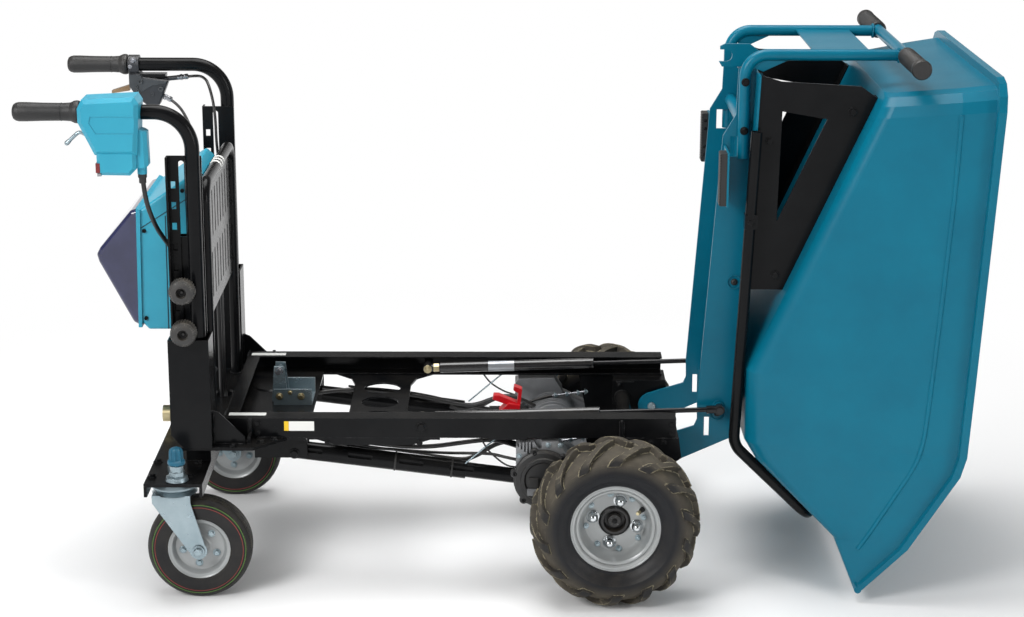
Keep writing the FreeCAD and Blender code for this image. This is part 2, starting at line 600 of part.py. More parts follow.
def brake_housing():
    y = HANDLE_Y
    body = plate_xz(on_handle([(3, -17), (27, -17), (33, -25), (86, -32), (65, -84), (38, -84), (17, -67),
                               (3, -44)]), y - 13.7, y + 16.3)
    body = body.makeChamfer(2.5, [e for e in body.Edges if e.BoundBox.YMax < y - 13])
    ring = along_x(y, HANDLE_Z, HANDLE_TUBE_R + 6, GRIP_FRONT_X + 3, GRIP_FRONT_X + 25)
    barrel = rod((GRIP_FRONT_X + 55, y + 1.3, HANDLE_Z - 33), (GRIP_FRONT_X + 125, y + 1.3, HANDLE_Z - 26), 5)
    bore = along_x(y, HANDLE_Z, HANDLE_TUBE_R + GAP, GRIP_FRONT_X - 5, GRIP_FRONT_X + 105)
    return less(join(body, ring, barrel), bore)


def brake_lever():
    x = 3 - GAP
    return plate_xz(on_handle([(x, -43), (x, -55), (-35, -61), (-35, -55)]), HANDLE_Y - 5.7, HANDLE_Y + 8.3)


# ---- cables, with their routes ---------------------------------------------
def brake_cable_left():
    x = LOOM_X
    return cable([(-879.6, 275, 931.1), (-861, 275, 933), (-845, 248, 935), (-829, 211, 930), (-813, 184, 876),
                  (-812, 177, 790), (x, 172, 725), (x, 146, 660), (x, 98, 600), (x, 65, 540), (x, 62, 470),
                  (x, 62.5, 350), (x, 62, LOOM_END_Z)], 3)


def brake_cable_right():
    x = LOOM_X
    return cable([(-933.1, 275, 889.4), (-905, 272, 878), (-874, 238, 838), (-850, 197, 775), (-832, 181, 700),
                  (x - 2, 172, 640), (x, 136, 588), (x, 92, 548), (x, 78, 500), (x, 78.5, 400),
                  (x, 78, LOOM_END_Z)], 3)


def control_cable():
    x = LOOM_X - 3
    dx, y, dz = CONTROL_OUT
    out = (GRIP_FRONT_X + dx, -y, HANDLE_Z + dz - GAP)
    return cable([out, (-890, -284, 800), (-879, -262, 745), (-866, -220, 700),
                  (-842, -186, 655), (x, -170, 618), (x, -122, 588), (x, -60, 570), (x, 4, 560),
                  (x, 44, 530), (x, 46, 460), (x, 46.5, 380), (x, 46, LOOM_END_Z)], 4.5)


# ---- bucket, drawn level --------------------------------------------------
def web_top(x):
    return 422 + WEB_SLOPE * (x - WEB_REAR)


def subframe():
    t = PLATE_T
    x0, x1 = WEB_REAR - 5, 48
    near_hinge = placed(HINGE_X, HINGE_Z, [(-26, -12), (0, 0), (27, 2), (22, 32)])
    outline = [(x0, 385), (-582, 382), (-541, 358), (-3, 321), (33, 322), (47, 316)] + near_hinge
    outline += [(72, 388), (x1, web_top(x1) - t + 1), (x0, web_top(x0) - t + 1)]
    plate = join(plate_xz(outline, SIDE_Y, SIDE_Y + SIDE_T), along_y(HINGE_X, HINGE_Z, 28, SIDE_Y, SIDE_Y + SIDE_T))
    eye = level_place(*STRUT_EYE)
    boss = along_y(*eye, STRUT_STUD_R + 4, SIDE_Y + 1, STRUT_Y - STRUT_EYE_HALF - 2)
    pad_top = RAIL_Z1 + 17
    bracket = box(-523, -418, SIDE_Y + 1, RAIL_Y - 3, pad_top, pad_top + t)
    side = join(plate, boss, bracket)
    slots = [box(-540, -500, SIDE_Y - 11, SIDE_Y + 9, 372, 398), box(28, 68, SIDE_Y - 11, SIDE_Y + 9, 336, 346)]
    web = plate_xz([(WEB_REAR, web_top(WEB_REAR)), (WEB_REAR, web_top(WEB_REAR) - t),
                    (46, web_top(46) - t), (46, web_top(46))], -WEB_HALF, WEB_HALF)
    notch = box(-680, STRIKER_PIN[0] + 22 + GAP, -HOOK_HALF - GAP, HOOK_HALF + GAP, 400, 440)
    tubes = [along_y(x, z, 12, -SIDE_Y - 1, SIDE_Y + 1) for x, z in ((-560, 400), (-250, 388), (20, 362))]
    floor_z = TUB[1][2]
    seats = [box(-70, -20, s * 130 - 40, s * 130 + 40, 395, floor_z - GAP) for s in (-1, 1)]
    hole = along_y(HINGE_X, HINGE_Z, HINGE_R + FIT, -SIDE_Y - 30, SIDE_Y + 30)
    whole = join(web, side, mirrored(side), *tubes, *seats)
    return less(whole, hole, notch, *slots, *[mirrored(s) for s in slots])


def tub_section(x_floor, x_rim, z_floor, z_crease, z_rim, w_floor, w_crease, w_rim, r):
    """One cross section of the tub, with rounded lower corners and a closed top line."""
    def at(y, z):
        return V(x_floor + (x_rim - x_floor) * (z - z_floor) / (z_rim - z_floor), y, z)

    up = V(0, w_crease - w_floor, z_crease - z_floor).normalize()
    half = (math.pi - math.atan2(up.z, up.y)) / 2
    back = r / math.tan(half)
    inward = V(0, up.y - 1, up.z).normalize() * (r / math.sin(half) - r)
    p = (w_floor - back, z_floor)
    m = (w_floor + inward.y, z_floor + inward.z)
    q = (w_floor + up.y * back, z_floor + up.z * back)
    crease, rim = (w_crease, z_crease), (w_rim, z_rim)

    def other(point):
        return -point[0], point[1]

    def line(a, b):
        return Part.makeLine(at(*a), at(*b))

    return Part.Wire([line(other(rim), other(crease)), line(other(crease), other(q)),
                      Part.Arc(at(*other(q)), at(*other(m)), at(*other(p))).toShape(), line(other(p), p),
                      Part.Arc(at(*p), at(*m), at(*q)).toShape(), line(q, crease), line(crease, rim),
                      line(rim, other(rim))])


def tub_stations():
    """Cross sections of the tub, each with the angle its wall has turned round the rear corner."""
    rear, following = TUB[:2]
    stations = []
    for turn in (0, 30, 60, 90):
        a = math.radians(turn)
        share = TUB_CORNER_R * (1 - math.cos(a)) / (following[0] - rear[0])
        s = [p + (q - p) * share for p, q in zip(rear, following)]
        for i in (5, 6, 7):
            s[i] -= TUB_CORNER_R * (1 - math.sin(a))
        stations.append((s, a))
    return stations + [(list(s), math.pi / 2) for s in TUB[1:]]


def upright_loft(outlines):
    """Solid through closed outlines of (x, y, z) points."""
    return Part.makeLoft([Part.makePolygon([V(*p) for p in o + o[:1]]) for o in outlines], True, True)


def tub():
    t = TUB_T
    stations = tub_stations()
    outer = Part.makeLoft([tub_section(*s) for s, _ in stations], True, True)
    cores = []
    for (xf, xr, zf, zc, zr, wf, wc, wr, r), a in stations:
        dx, dw = t * math.cos(a), t * math.sin(a)
        cores.append([xf + dx, xr + dx, zf + 1.15 * t, zc, zr, wf - dw, wc - dw, wr - dw, max(r - t, 1)])
    for i, shift in enumerate((4, 4, 1.6, 1.6, 1.6)):
        cores[-1][i] += shift
    inner = Part.makeLoft([tub_section(*s) for s in cores], True, True)
    mouth, rim = [], []
    for ((_, xr, _, _, zr, _, _, wr, _), a), core in zip(stations, cores):
        x, w = core[1], core[7]
        mouth.append([(x, -w, zr - 0.5), (x, w, zr - 0.5), (x, w, zr + 12), (x, -w, zr + 12)])
        x0, y0 = xr + t * math.cos(a), wr - t * math.sin(a)
        x1, y1 = xr - RIM_OUT * math.cos(a), wr + RIM_OUT * math.sin(a)
        rim.append([(x0, y0, zr - 13), (x1, y1, zr - 13), (x1, y1, zr + RIM_UP), (x0, y0, zr + RIM_UP)])
    far_rim = [[(x, -y, z) for x, y, z in o] for o in rim]
    nose = TUB[-1]
    lip = along_y(nose[1], nose[4] - 6, 7, -nose[7] - 13, nose[7] + 13)
    shell = outer.cut(inner).cut(upright_loft(mouth))
    return join(shell, upright_loft(rim[::-1] + far_rim), lip)


def tub_floor(x):
    """Height of the sloping floor between the rear wall and the flat stretch."""
    (x0, _, z0), (x1, _, z1) = TUB[0][:3], TUB[1][:3]
    return z0 + (z1 - z0) * (x - x0) / (x1 - x0)


def support_plates():
    x0, x1, x2 = WEB_REAR - 1, -250, -626
    y1, y0 = WEB_HALF - 4, WEB_HALF - 8
    outline = [(x0, web_top(x0)), (x1, web_top(x1)), (x1, tub_floor(x1) - 3), (x2, tub_floor(x2) - 3), (-647, 612),
               (-656, 461)]
    window = plate_xz([(-599, 464), (-584, 550), (-385, 460)], y0 - 8, y1 + 8)
    plate = less(plate_xz(outline, y0, y1), window)
    flange = plate_xz([(x1, tub_floor(x1) - 4), (x1, tub_floor(x1) - GAP), (x2, tub_floor(x2) - GAP),
                       (x2, tub_floor(x2) - 4)], y1 - 30, y1)
    foot = plate_xz([(x0, web_top(x0)), (x1, web_top(x1)), (x1, web_top(x1) + 4), (x0, web_top(x0) + 4)],
                    y1 - 28, y1)
    return both(join(plate, flange, foot))


def dump_handle():
    r = TUBE_R
    y = SIDE_Y + SIDE_T + GAP + r
    arm = bent_tube([(-500, y, 396), (BAR_X, y, 396), (BAR_X, y, BAR_Z)], 42, r, TUBE_WALL)
    gusset = plate_xz(placed(BAR_X, 396, [(6, 90), (6, 36), (24, 14), (32, 34)]), y - 2, y + 2)
    bar = along_y(BAR_X, BAR_Z, r, -BAR_HALF, BAR_HALF)
    panel = box(BAR_X - 3, BAR_X, -y, y, 529, 637)
    return join(bar, panel, arm, mirrored(arm), gusset, mirrored(gusset))


def dump_grips():
    sleeve = along_y(BAR_X, BAR_Z, TUBE_R + 7.5, 170, BAR_HALF + 5)
    return both(less(sleeve, along_y(BAR_X, BAR_Z, TUBE_R + GAP, 160, BAR_HALF + GAP)))


def cradle():
    y, r = CRADLE_Y, TUBE_R
    rear, front = (-564, web_top(-564) - 3.5), (60, web_top(60) - 5.5)
    pts = [(rear[0], y, rear[1]), (front[0], y, front[1]), (213, y, 545), (213, -y, 545), (front[0], -y, front[1]),
           (rear[0], -y, rear[1])]
    loop = bent_tube(pts, [45, 40, 40, 45], r, TUBE_WALL)
    lug = box(-404, -376, WEB_HALF + GAP, y + 10, 396, 420)
    return join(loop, lug, mirrored(lug))


def latch():
    hook = plate_xz(placed(*STRIKER_PIN, [(-23, -2), (-18, -12), (-12, -12), (-12, 0), (12, 0), (12, -14), (22, -8),
                                          (22, 56), (10, 67), (-10, 64), (-23, 46)]), -HOOK_HALF, HOOK_HALF)
    mouth = along_y(*STRIKER_PIN, 12, -HOOK_HALF - 1, HOOK_HALF + 1)
    lever = plate_xz([(-640, web_top(-640) + GAP), (-600, web_top(-600) + GAP), (-606, 440), (-628, 448)],
                     -168, -152)
    return Part.makeCompound([less(hook, mouth), lever])


def stop_pads():
    top = RAIL_Z1 + 17 - GAP
    return both(box(-522, -420, RAIL_Y - 37, RAIL_Y - 3, RAIL_Z1 + STEP_OFF, top))


# ---- wheels ---------------------------------------------------------------
def mirrored_profile(side):
    return side + [(r, -d) for r, d in reversed(side)]


def drive_tyre():
    h, r, bead = DRIVE_W / 2, DRIVE_R, DRIVE_RIM_HALF
    side = [(DRIVE_BED_R + GAP, bead - 4.4), (DRIVE_RIM_R + 2.4, bead - 2.4), (r - 53, h - 3), (r - 35, h),
            (r - 17, h - 4), (r - 6, h - 18.5), (r, h - 42.5)]
    return turned(mirrored_profile(side), 0, DRIVE_Y, DRIVE_R)


def drive_rim():
    h, bed, bore = DRIVE_RIM_HALF, DRIVE_BED_R, AXLE_R + FIT
    barrel = turned([(bed - 5, -h), (DRIVE_RIM_R, -h), (DRIVE_RIM_R, -h + 2), (bed, -h + 4), (bed, h - 4),
                     (DRIVE_RIM_R, h - 2), (DRIVE_RIM_R, h), (bed - 5, h)], 0, DRIVE_Y, DRIVE_R)
    disc = turned([(bore, -9), (bed - 14, -4), (bed - 4, 10), (bed - 4, 16), (bed - 15, 1), (bore, -4)],
                  0, DRIVE_Y, DRIVE_R)
    hub = turned([(bore, -DRIVE_HUB_BACK), (30, -DRIVE_HUB_BACK), (30, -1), (27, 1), (19, 1), (17, -6), (bore, -6)],
                 0, DRIVE_Y, DRIVE_R)
    return join(barrel, disc, hub)


def caster_fork():
    x, y, top = SWIVEL_X, CASTER_Y, FORK_TOP
    inner = CASTER_W / 2 + 4
    crown = cone_z(x, y, 44, 34, top - 10, top)
    bridge = box(x - 40, x + 34, y - inner - 5, y + inner + 5, top - 14, top - 8)
    arm = plate_xz([(x - 40, top - 8), (x - 40, top - 24), (CASTER_X - 17, CASTER_R - 4),
                    (CASTER_X + 17, CASTER_R - 4), (x + 34, top - 24), (x + 34, top - 8)],
                   y + inner, y + inner + 4)
    side = join(arm, along_y(CASTER_X, CASTER_R, 17, y + inner, y + inner + 4))
    axle = along_y(CASTER_X, CASTER_R, CASTER_AXLE_R, y - inner - 11, y + inner + 11)
    hole = along_z(x, y, KING_R + FIT, top - 24, top + 6)
    return less(join(crown, bridge, side, side.translated(V(0, -2 * inner - 4, 0)), axle), hole)


def caster_tyre():
    h, r, rim = CASTER_W / 2, CASTER_R, CASTER_RIM_R
    side = [(rim - 3 + GAP, h - 6), (rim + 0.6, h - 2.8), (rim + 7, h - 1), (r - 22, h), (r - 8, h - 6),
            (r, h - 17)]
    return turned(mirrored_profile(side), CASTER_X, CASTER_Y, CASTER_R)


def caster_rim():
    h, rim, bore = CASTER_W / 2 - 2, CASTER_RIM_R, CASTER_AXLE_R + FIT
    barrel = turned([(rim - 9, -h), (rim, -h), (rim - 3, -h + 3), (rim - 3, h - 3), (rim, h), (rim - 9, h)],
                    CASTER_X, CASTER_Y, CASTER_R)
    disc = turned([(bore, -h - 3), (16, -h - 3), (16, -4), (rim - 8, -4), (rim - 8, 4), (16, 4), (16, h + 3),
                   (bore, h + 3)], CASTER_X, CASTER_Y, CASTER_R)
    return join(barrel, disc)


# ---- gas struts -----------------------------------------------------------
def with_eye(outline, eye_at):
    """Outline of (distance from the chassis pin, radius) turned about the strut's line, with one eye."""
    return turned_x(outline).fuse(along_y(eye_at, 0, STRUT_EYE_R, -STRUT_EYE_HALF, STRUT_EYE_HALF))


def on_strut(piece):
    piece.rotate(V(0, 0, 0), V(0, 1, 0), -STRUT_ANGLE)
    return piece.translated(V(STRUT_PIN[0], STRUT_Y, STRUT_PIN[1]))


def strut_cylinder():
    bore = STRUT_ROD_R + FIT
    body = with_eye([(6, 0), (6, 7), (26, 7), (26, STRUT_R), (350, STRUT_R), (350, bore), (84, bore), (84, 0)], 0)
    hole = along_y(0, 0, STRUT_STUD_R + FIT, -STRUT_EYE_HALF - 3, STRUT_EYE_HALF + 3)
    return on_strut(less(body, hole))


def strut_rod():
    """Rod with the shoulder bolt that is kept in its eye."""
    n = STRUT_LENGTH
    body = with_eye([(290, 0), (290, STRUT_ROD_R), (n - 26, STRUT_ROD_R), (n - 26, 8), (n - 6, 8), (n - 6, 0)], n)
    return on_strut(body.fuse(along_y(n, 0, STRUT_STUD_R + 2, STRUT_EYE_HALF - 1, STRUT_EYE_HALF + 5)))


# ---- write every piece ----------------------------------------------------
os.makedirs("parts", exist_ok=True)

for piece in (rails, rear_deck, cross_plate, front_frame, post_frame, caster_beam, caster_heads, lock_knobs,
              striker, load_guard, battery_box, battery_cover, clamp_knobs, brace_tubes, drive_units, gear_covers,
              axle_beam, release_lever, hitch_pin, hinge_pins, control_box, speed_lever, brake_housing, brake_lever,
              control_cable, brake_cable_left, brake_cable_right):
    write_node(piece.__name__, piece())

for name, piece in (("bucket_tub", tub), ("subframe", subframe), ("support_plates", support_plates),
                    ("dump_handle", dump_handle), ("dump_grips", dump_grips), ("cradle_tube", cradle),
                    ("latch", latch), ("stop_pads", stop_pads)):
    write_node(name, tipped(piece()))

for name, piece in (("handle_frame", handle_frame), ("handle_grip", grip), ("drive_tyre", drive_tyre),
                    ("drive_rim", drive_rim), ("caster_fork", caster_fork), ("caster_tyre", caster_tyre),
                    ("caster_rim", caster_rim), ("strut_cylinder", strut_cylinder), ("strut_rod", strut_rod)):
    left = piece()
    write_node(name + "_left", left)
    write_node(name + "_right", mirrored(left))
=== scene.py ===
import bpy
import bmesh
import json
import math
from mathutils import Matrix, Vector


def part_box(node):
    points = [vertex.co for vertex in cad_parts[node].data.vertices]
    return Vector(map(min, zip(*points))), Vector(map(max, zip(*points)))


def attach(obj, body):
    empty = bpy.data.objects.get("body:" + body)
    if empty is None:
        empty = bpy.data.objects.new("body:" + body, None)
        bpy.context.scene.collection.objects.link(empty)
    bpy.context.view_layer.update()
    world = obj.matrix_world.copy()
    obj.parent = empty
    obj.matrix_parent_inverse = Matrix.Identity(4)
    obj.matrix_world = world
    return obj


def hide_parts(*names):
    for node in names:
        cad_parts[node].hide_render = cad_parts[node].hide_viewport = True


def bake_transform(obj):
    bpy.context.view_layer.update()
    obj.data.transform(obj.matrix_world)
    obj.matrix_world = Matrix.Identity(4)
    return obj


# Electric wheelbarrow: finishes, treads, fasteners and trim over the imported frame.
# Metres, +X forward, +Y the driver's left, +Z up.

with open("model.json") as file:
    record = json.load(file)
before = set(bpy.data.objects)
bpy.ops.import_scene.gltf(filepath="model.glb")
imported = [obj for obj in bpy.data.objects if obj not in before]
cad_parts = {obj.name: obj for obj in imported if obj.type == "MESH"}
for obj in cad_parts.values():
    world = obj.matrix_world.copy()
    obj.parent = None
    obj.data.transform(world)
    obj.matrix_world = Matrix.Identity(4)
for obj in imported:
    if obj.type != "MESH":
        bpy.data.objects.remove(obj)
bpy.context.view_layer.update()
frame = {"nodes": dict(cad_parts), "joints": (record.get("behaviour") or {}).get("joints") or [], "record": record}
nodes = frame["nodes"]
joint_at = {j["name"]: Vector(j["pos_m"]) for j in frame["joints"] if j.get("pos_m")}
scene = bpy.context.scene
SIDES = (("left", 1), ("right", -1))
TURN = 2 * math.pi
FILL_LEVEL = 0.42


# ---- camera, light and floor ----------------------------------------------
def aim(place, yaw, pitch, roll=0.0):
    """World matrix of a camera or lamp that looks along +Y when all angles are zero."""
    forward = Vector((math.sin(yaw) * math.cos(pitch), math.cos(yaw) * math.cos(pitch), -math.sin(pitch)))
    right = Vector((math.cos(yaw), -math.sin(yaw), 0))
    up = right.cross(forward)
    across = right * math.cos(roll) + up * math.sin(roll)
    above = up * math.cos(roll) - right * math.sin(roll)
    return Matrix.Translation(place) @ Matrix((across, above, -forward)).transposed().to_4x4()


def add_camera():
    data = bpy.data.cameras.new("camera")
    data.lens = 78.65
    data.sensor_width = 36.0
    camera = bpy.data.objects.new("camera", data)
    place = Vector((-0.0008, -4.3843, 1.7189))
    yaw, pitch, roll = (math.radians(degrees) for degrees in (0.168, 15.5025, 0.147))
    camera.matrix_world = aim(place, yaw, pitch, roll)
    scene.collection.objects.link(camera)
    scene.camera = camera


def add_softbox(name, place, target, width, height, power):
    data = bpy.data.lights.new(name, "AREA")
    data.shape = "RECTANGLE"
    data.size = width
    data.size_y = height
    data.energy = power
    lamp = bpy.data.objects.new(name, data)
    way = Vector(target) - Vector(place)
    lamp.matrix_world = aim(Vector(place), math.atan2(way.x, way.y), -math.asin(way.z / way.length))
    scene.collection.objects.link(lamp)


def add_node(tree, kind, inputs=None, **settings):
    """Adds a node; inputs maps a socket's name or number to a value or to another node's output."""
    made = tree.nodes.new(kind)
    for key, value in settings.items():
        setattr(made, key, value)
    for socket, value in (inputs or {}).items():
        if isinstance(value, bpy.types.NodeSocket):
            tree.links.new(value, made.inputs[socket])
        else:
            made.inputs[socket].default_value = value
    return made


def math_node(tree, operation, *values, clamp=False):
    made = add_node(tree, "ShaderNodeMath", dict(enumerate(values)), operation=operation)
    made.use_clamp = clamp
    return made.outputs[0]


def object_place(tree):
    return add_node(tree, "ShaderNodeTexCoord").outputs["Object"]


def add_world():
    """White to the eye; in reflections white near the horizon and dim above and below it.

    All other rays see an even level, which fills the shadows.
    """
    world = bpy.data.worlds.new("studio")
    world.use_nodes = True
    tree = world.node_tree
    tree.nodes.clear()
    rays = add_node(tree, "ShaderNodeLightPath").outputs
    seen = math_node(tree, "MAXIMUM", rays["Is Camera Ray"], rays["Is Transmission Ray"])
    way = add_node(tree, "ShaderNodeTexCoord").outputs["Generated"]
    rise = math_node(tree, "ABSOLUTE", add_node(tree, "ShaderNodeSeparateXYZ", {0: way}).outputs["Z"])
    low, high, low_level, high_level = 0.04, 0.27, 1.0, 0.12
    cove = add_node(tree, "ShaderNodeMapRange", {
        "Value": rise, "From Min": low, "From Max": high, "To Min": low_level,
        "To Max": high_level}).outputs["Result"]
    change = math_node(tree, "SUBTRACT", cove, FILL_LEVEL)
    lit = math_node(tree, "MULTIPLY_ADD", rays["Is Glossy Ray"], change, FILL_LEVEL)
    soft = add_node(tree, "ShaderNodeBackground", {"Color": (1, 1, 1, 1), "Strength": lit})
    white = add_node(tree, "ShaderNodeBackground", {"Color": (1, 1, 1, 1), "Strength": 1.0})
    mixed = add_node(tree, "ShaderNodeMixShader", {0: seen, 1: soft.outputs[0], 2: white.outputs[0]})
    add_node(tree, "ShaderNodeOutputWorld", {"Surface": mixed.outputs[0]})
    scene.world = world


def floor_material():
    """Pale floor that keeps the shadow and runs out into white."""
    material = bpy.data.materials.new("studio_floor")
    material.use_nodes = True
    tree = material.node_tree
    tree.nodes.clear()
    place = object_place(tree)
    distance = add_node(tree, "ShaderNodeVectorMath", {0: place}, operation="LENGTH").outputs["Value"]
    far = add_node(tree, "ShaderNodeMapRange", {"Value": distance, "From Min": 0.9, "From Max": 2.2},
                   interpolation_type="SMOOTHSTEP").outputs["Result"]
    rays = add_node(tree, "ShaderNodeLightPath").outputs
    seen = math_node(tree, "MAXIMUM", rays["Is Camera Ray"], rays["Is Glossy Ray"])
    seen = math_node(tree, "MAXIMUM", seen, rays["Is Transmission Ray"])
    matt = add_node(tree, "ShaderNodeBsdfDiffuse", {"Color": (0.9, 0.9, 0.9, 1)})
    white = add_node(tree, "ShaderNodeEmission", {"Color": (1, 1, 1, 1), "Strength": 1.0})
    share = math_node(tree, "MULTIPLY", far, seen)
    mixed = add_node(tree, "ShaderNodeMixShader", {0: share, 1: matt.outputs[0], 2: white.outputs[0]})
    add_node(tree, "ShaderNodeOutputMaterial", {"Surface": mixed.outputs[0]})
    return material


def add_floor():
    reach = 30.0
    mesh = bpy.data.meshes.new("floor")
    mesh.from_pydata([(-reach, -reach, 0), (reach, -reach, 0), (reach, reach, 0), (-reach, reach, 0)], [],
                     [(0, 1, 2, 3)])
    mesh.materials.append(floor_material())
    floor = bpy.data.objects.new("floor", mesh)
    scene.collection.objects.link(floor)


add_camera()
add_world()
add_floor()
add_softbox("softbox_left", (-2.8, -3.2, 2.9), (-0.1, 0, 0.5), 1.8, 1.5, 120)
add_softbox("softbox_right", (3.2, -2.4, 1.9), (0.3, 0, 0.5), 0.8, 2.2, 36)
add_softbox("softbox_top", (-0.3, 0.4, 3.6), (0, 0, 0), 2.6, 2.2, 105)
scene.view_settings.view_transform = "Standard"


# ---- shader groups --------------------------------------------------------
def new_group(name, inputs, outputs):
    tree = bpy.data.node_groups.new(name, "ShaderNodeTree")
    for label, value in inputs:
        tree.interface.new_socket(label, in_out="INPUT", socket_type="NodeSocketFloat").default_value = value
    for label, kind in outputs:
        tree.interface.new_socket(label, in_out="OUTPUT", socket_type="NodeSocket" + kind)
    return tree, add_node(tree, "NodeGroupInput").outputs, add_node(tree, "NodeGroupOutput")


def noise(tree, vector, scale, detail=2.0, roughness=0.5):
    made = add_node(tree, "ShaderNodeTexNoise", {"Vector": vector, "Scale": scale, "Detail": detail,
                                                 "Roughness": roughness})
    return made.outputs["Fac"]


def ramp(tree, value, low, high, to_low=0.0, to_high=1.0):
    made = add_node(tree, "ShaderNodeMapRange", {"Value": value, "From Min": low, "From Max": high,
                                                 "To Min": to_low, "To Max": to_high})
    return made.outputs["Result"]


def grain_group():
    """Fine relief of a finish and the slow unevenness of its tone."""
    tree, given, out = new_group("surface_grain", [("Grain Scale", 900.0), ("Tone Scale", 7.0)],
                                 [("Height", "Float"), ("Tone", "Float")])
    place = object_place(tree)
    tree.links.new(noise(tree, place, given["Grain Scale"], 2.0), out.inputs["Height"])
    tree.links.new(noise(tree, place, given["Tone Scale"], 5.0, 0.6), out.inputs["Tone"])
    return tree


def edge_group():
    """Rounded edges and a broken mask along them, for edge wear and for painted edge highlights."""
    tree, given, out = new_group("worn_edges", [("Radius", 0.0012), ("Amount", 0.3), ("Breakup", 90.0)],
                                 [("Mask", "Float"), ("Normal", "Vector")])
    rounded = add_node(tree, "ShaderNodeBevel", {"Radius": given["Radius"]}, samples=3).outputs["Normal"]
    flat = add_node(tree, "ShaderNodeNewGeometry").outputs["True Normal"]
    close = add_node(tree, "ShaderNodeVectorMath", {0: rounded, 1: flat},
                     operation="DOT_PRODUCT").outputs["Value"]
    edge = ramp(tree, close, 0.985, 0.80)
    place = object_place(tree)
    broken = ramp(tree, noise(tree, place, given["Breakup"], 4.0, 0.7), 0.45, 0.62)
    worn_and_highlit = math_node(tree, "MULTIPLY", edge, broken)
    tree.links.new(math_node(tree, "MULTIPLY", worn_and_highlit, given["Amount"], clamp=True), out.inputs["Mask"])
    tree.links.new(rounded, out.inputs["Normal"])
    return tree


def dust_group():
    """Mask of dust: most on faces that look up, and more near the ground."""
    tree, given, out = new_group("settled_dust", [("Amount", 0.2), ("Scale", 14.0), ("Ground Share", 0.3)],
                                 [("Mask", "Float")])
    geometry = add_node(tree, "ShaderNodeNewGeometry").outputs
    up = add_node(tree, "ShaderNodeSeparateXYZ", {0: geometry["Normal"]}).outputs["Z"]
    place = object_place(tree)
    height = add_node(tree, "ShaderNodeSeparateXYZ", {0: place}).outputs["Z"]
    low = math_node(tree, "MULTIPLY", ramp(tree, height, 0.45, 0.0), given["Ground Share"])
    settled = math_node(tree, "ADD", ramp(tree, up, 0.1, 1.0, 0.15, 1.0), low)
    patches = ramp(tree, noise(tree, place, given["Scale"], 6.0, 0.65), 0.32, 0.72)
    fine = ramp(tree, noise(tree, place, 420.0, 3.0, 0.6), 0.3, 0.7, 0.6, 1.0)
    mask = math_node(tree, "MULTIPLY", math_node(tree, "MULTIPLY", settled, patches), fine)
    tree.links.new(math_node(tree, "MULTIPLY", mask, given["Amount"], clamp=True), out.inputs["Mask"])
    return tree


def smear_group():
    """Change of gloss from handling and wiping."""
    tree, given, out = new_group("wiped_gloss", [("Scale", 9.0), ("Strength", 0.08)], [("Change", "Float")])
    place = object_place(tree)
    streaks = add_node(tree, "ShaderNodeMapping", {"Vector": place, "Scale": (1.0, 1.0, 3.0)}).outputs[0]
    wiped = noise(tree, streaks, given["Scale"], 4.0, 0.7)
    centred = math_node(tree, "SUBTRACT", wiped, 0.5)
    doubled = math_node(tree, "MULTIPLY", centred, 2.0)
    tree.links.new(math_node(tree, "MULTIPLY", doubled, given["Strength"]), out.inputs["Change"])
    return tree


GRAIN, EDGES, DUST, SMEARS = grain_group(), edge_group(), dust_group(), smear_group()


def use(tree, group, **values):
    """Places a group in a material; an underscore in a value's name stands for a space."""
    made = add_node(tree, "ShaderNodeGroup")
    made.node_tree = group
    for label, value in values.items():
        made.inputs[label.replace("_", " ")].default_value = value
    return made.outputs


# ---- materials ------------------------------------------------------------
def linear(level):
    part = level / 255
    return part / 12.92 if part <= 0.04045 else ((part + 0.055) / 1.055) ** 2.4


def colour(red, green, blue):
    """Linear colour of an ordinary 0 to 255 one."""
    return linear(red), linear(green), linear(blue), 1.0


DUST_TONE = colour(150, 138, 118)
MATERIALS = {}
RELIEF_DEPTH = 0.0004
DUST_DULLING = 0.45


def mix_colour(tree, share, first, second):
    made = add_node(tree, "ShaderNodeMix", {"Factor": share}, data_type="RGBA")
    for socket, value in ((made.inputs[6], first), (made.inputs[7], second)):
        if isinstance(value, bpy.types.NodeSocket):
            tree.links.new(value, socket)
        else:
            socket.default_value = value
    return made.outputs[2]


def new_material(name):
    material = bpy.data.materials.new(name)
    material.use_nodes = True
    tree = material.node_tree
    tree.nodes.clear()
    shader = add_node(tree, "ShaderNodeBsdfPrincipled")
    add_node(tree, "ShaderNodeOutputMaterial", {"Surface": shader.outputs[0]})
    return material, tree, shader


def set_shader(shader, **values):
    """Sets plain inputs of a shader; an underscore in a value's name stands for a space."""
    for label, value in values.items():
        shader.inputs[label.replace("_", " ")].default_value = value


def bump_from(tree, shader, surface, edges, strength, depth):
    """Fine relief over the rounded edges."""
    bump = add_node(tree, "ShaderNodeBump", {"Height": surface["Height"], "Strength": strength,
                                             "Distance": depth, "Normal": edges["Normal"]})
    tree.links.new(bump.outputs[0], shader.inputs["Normal"])


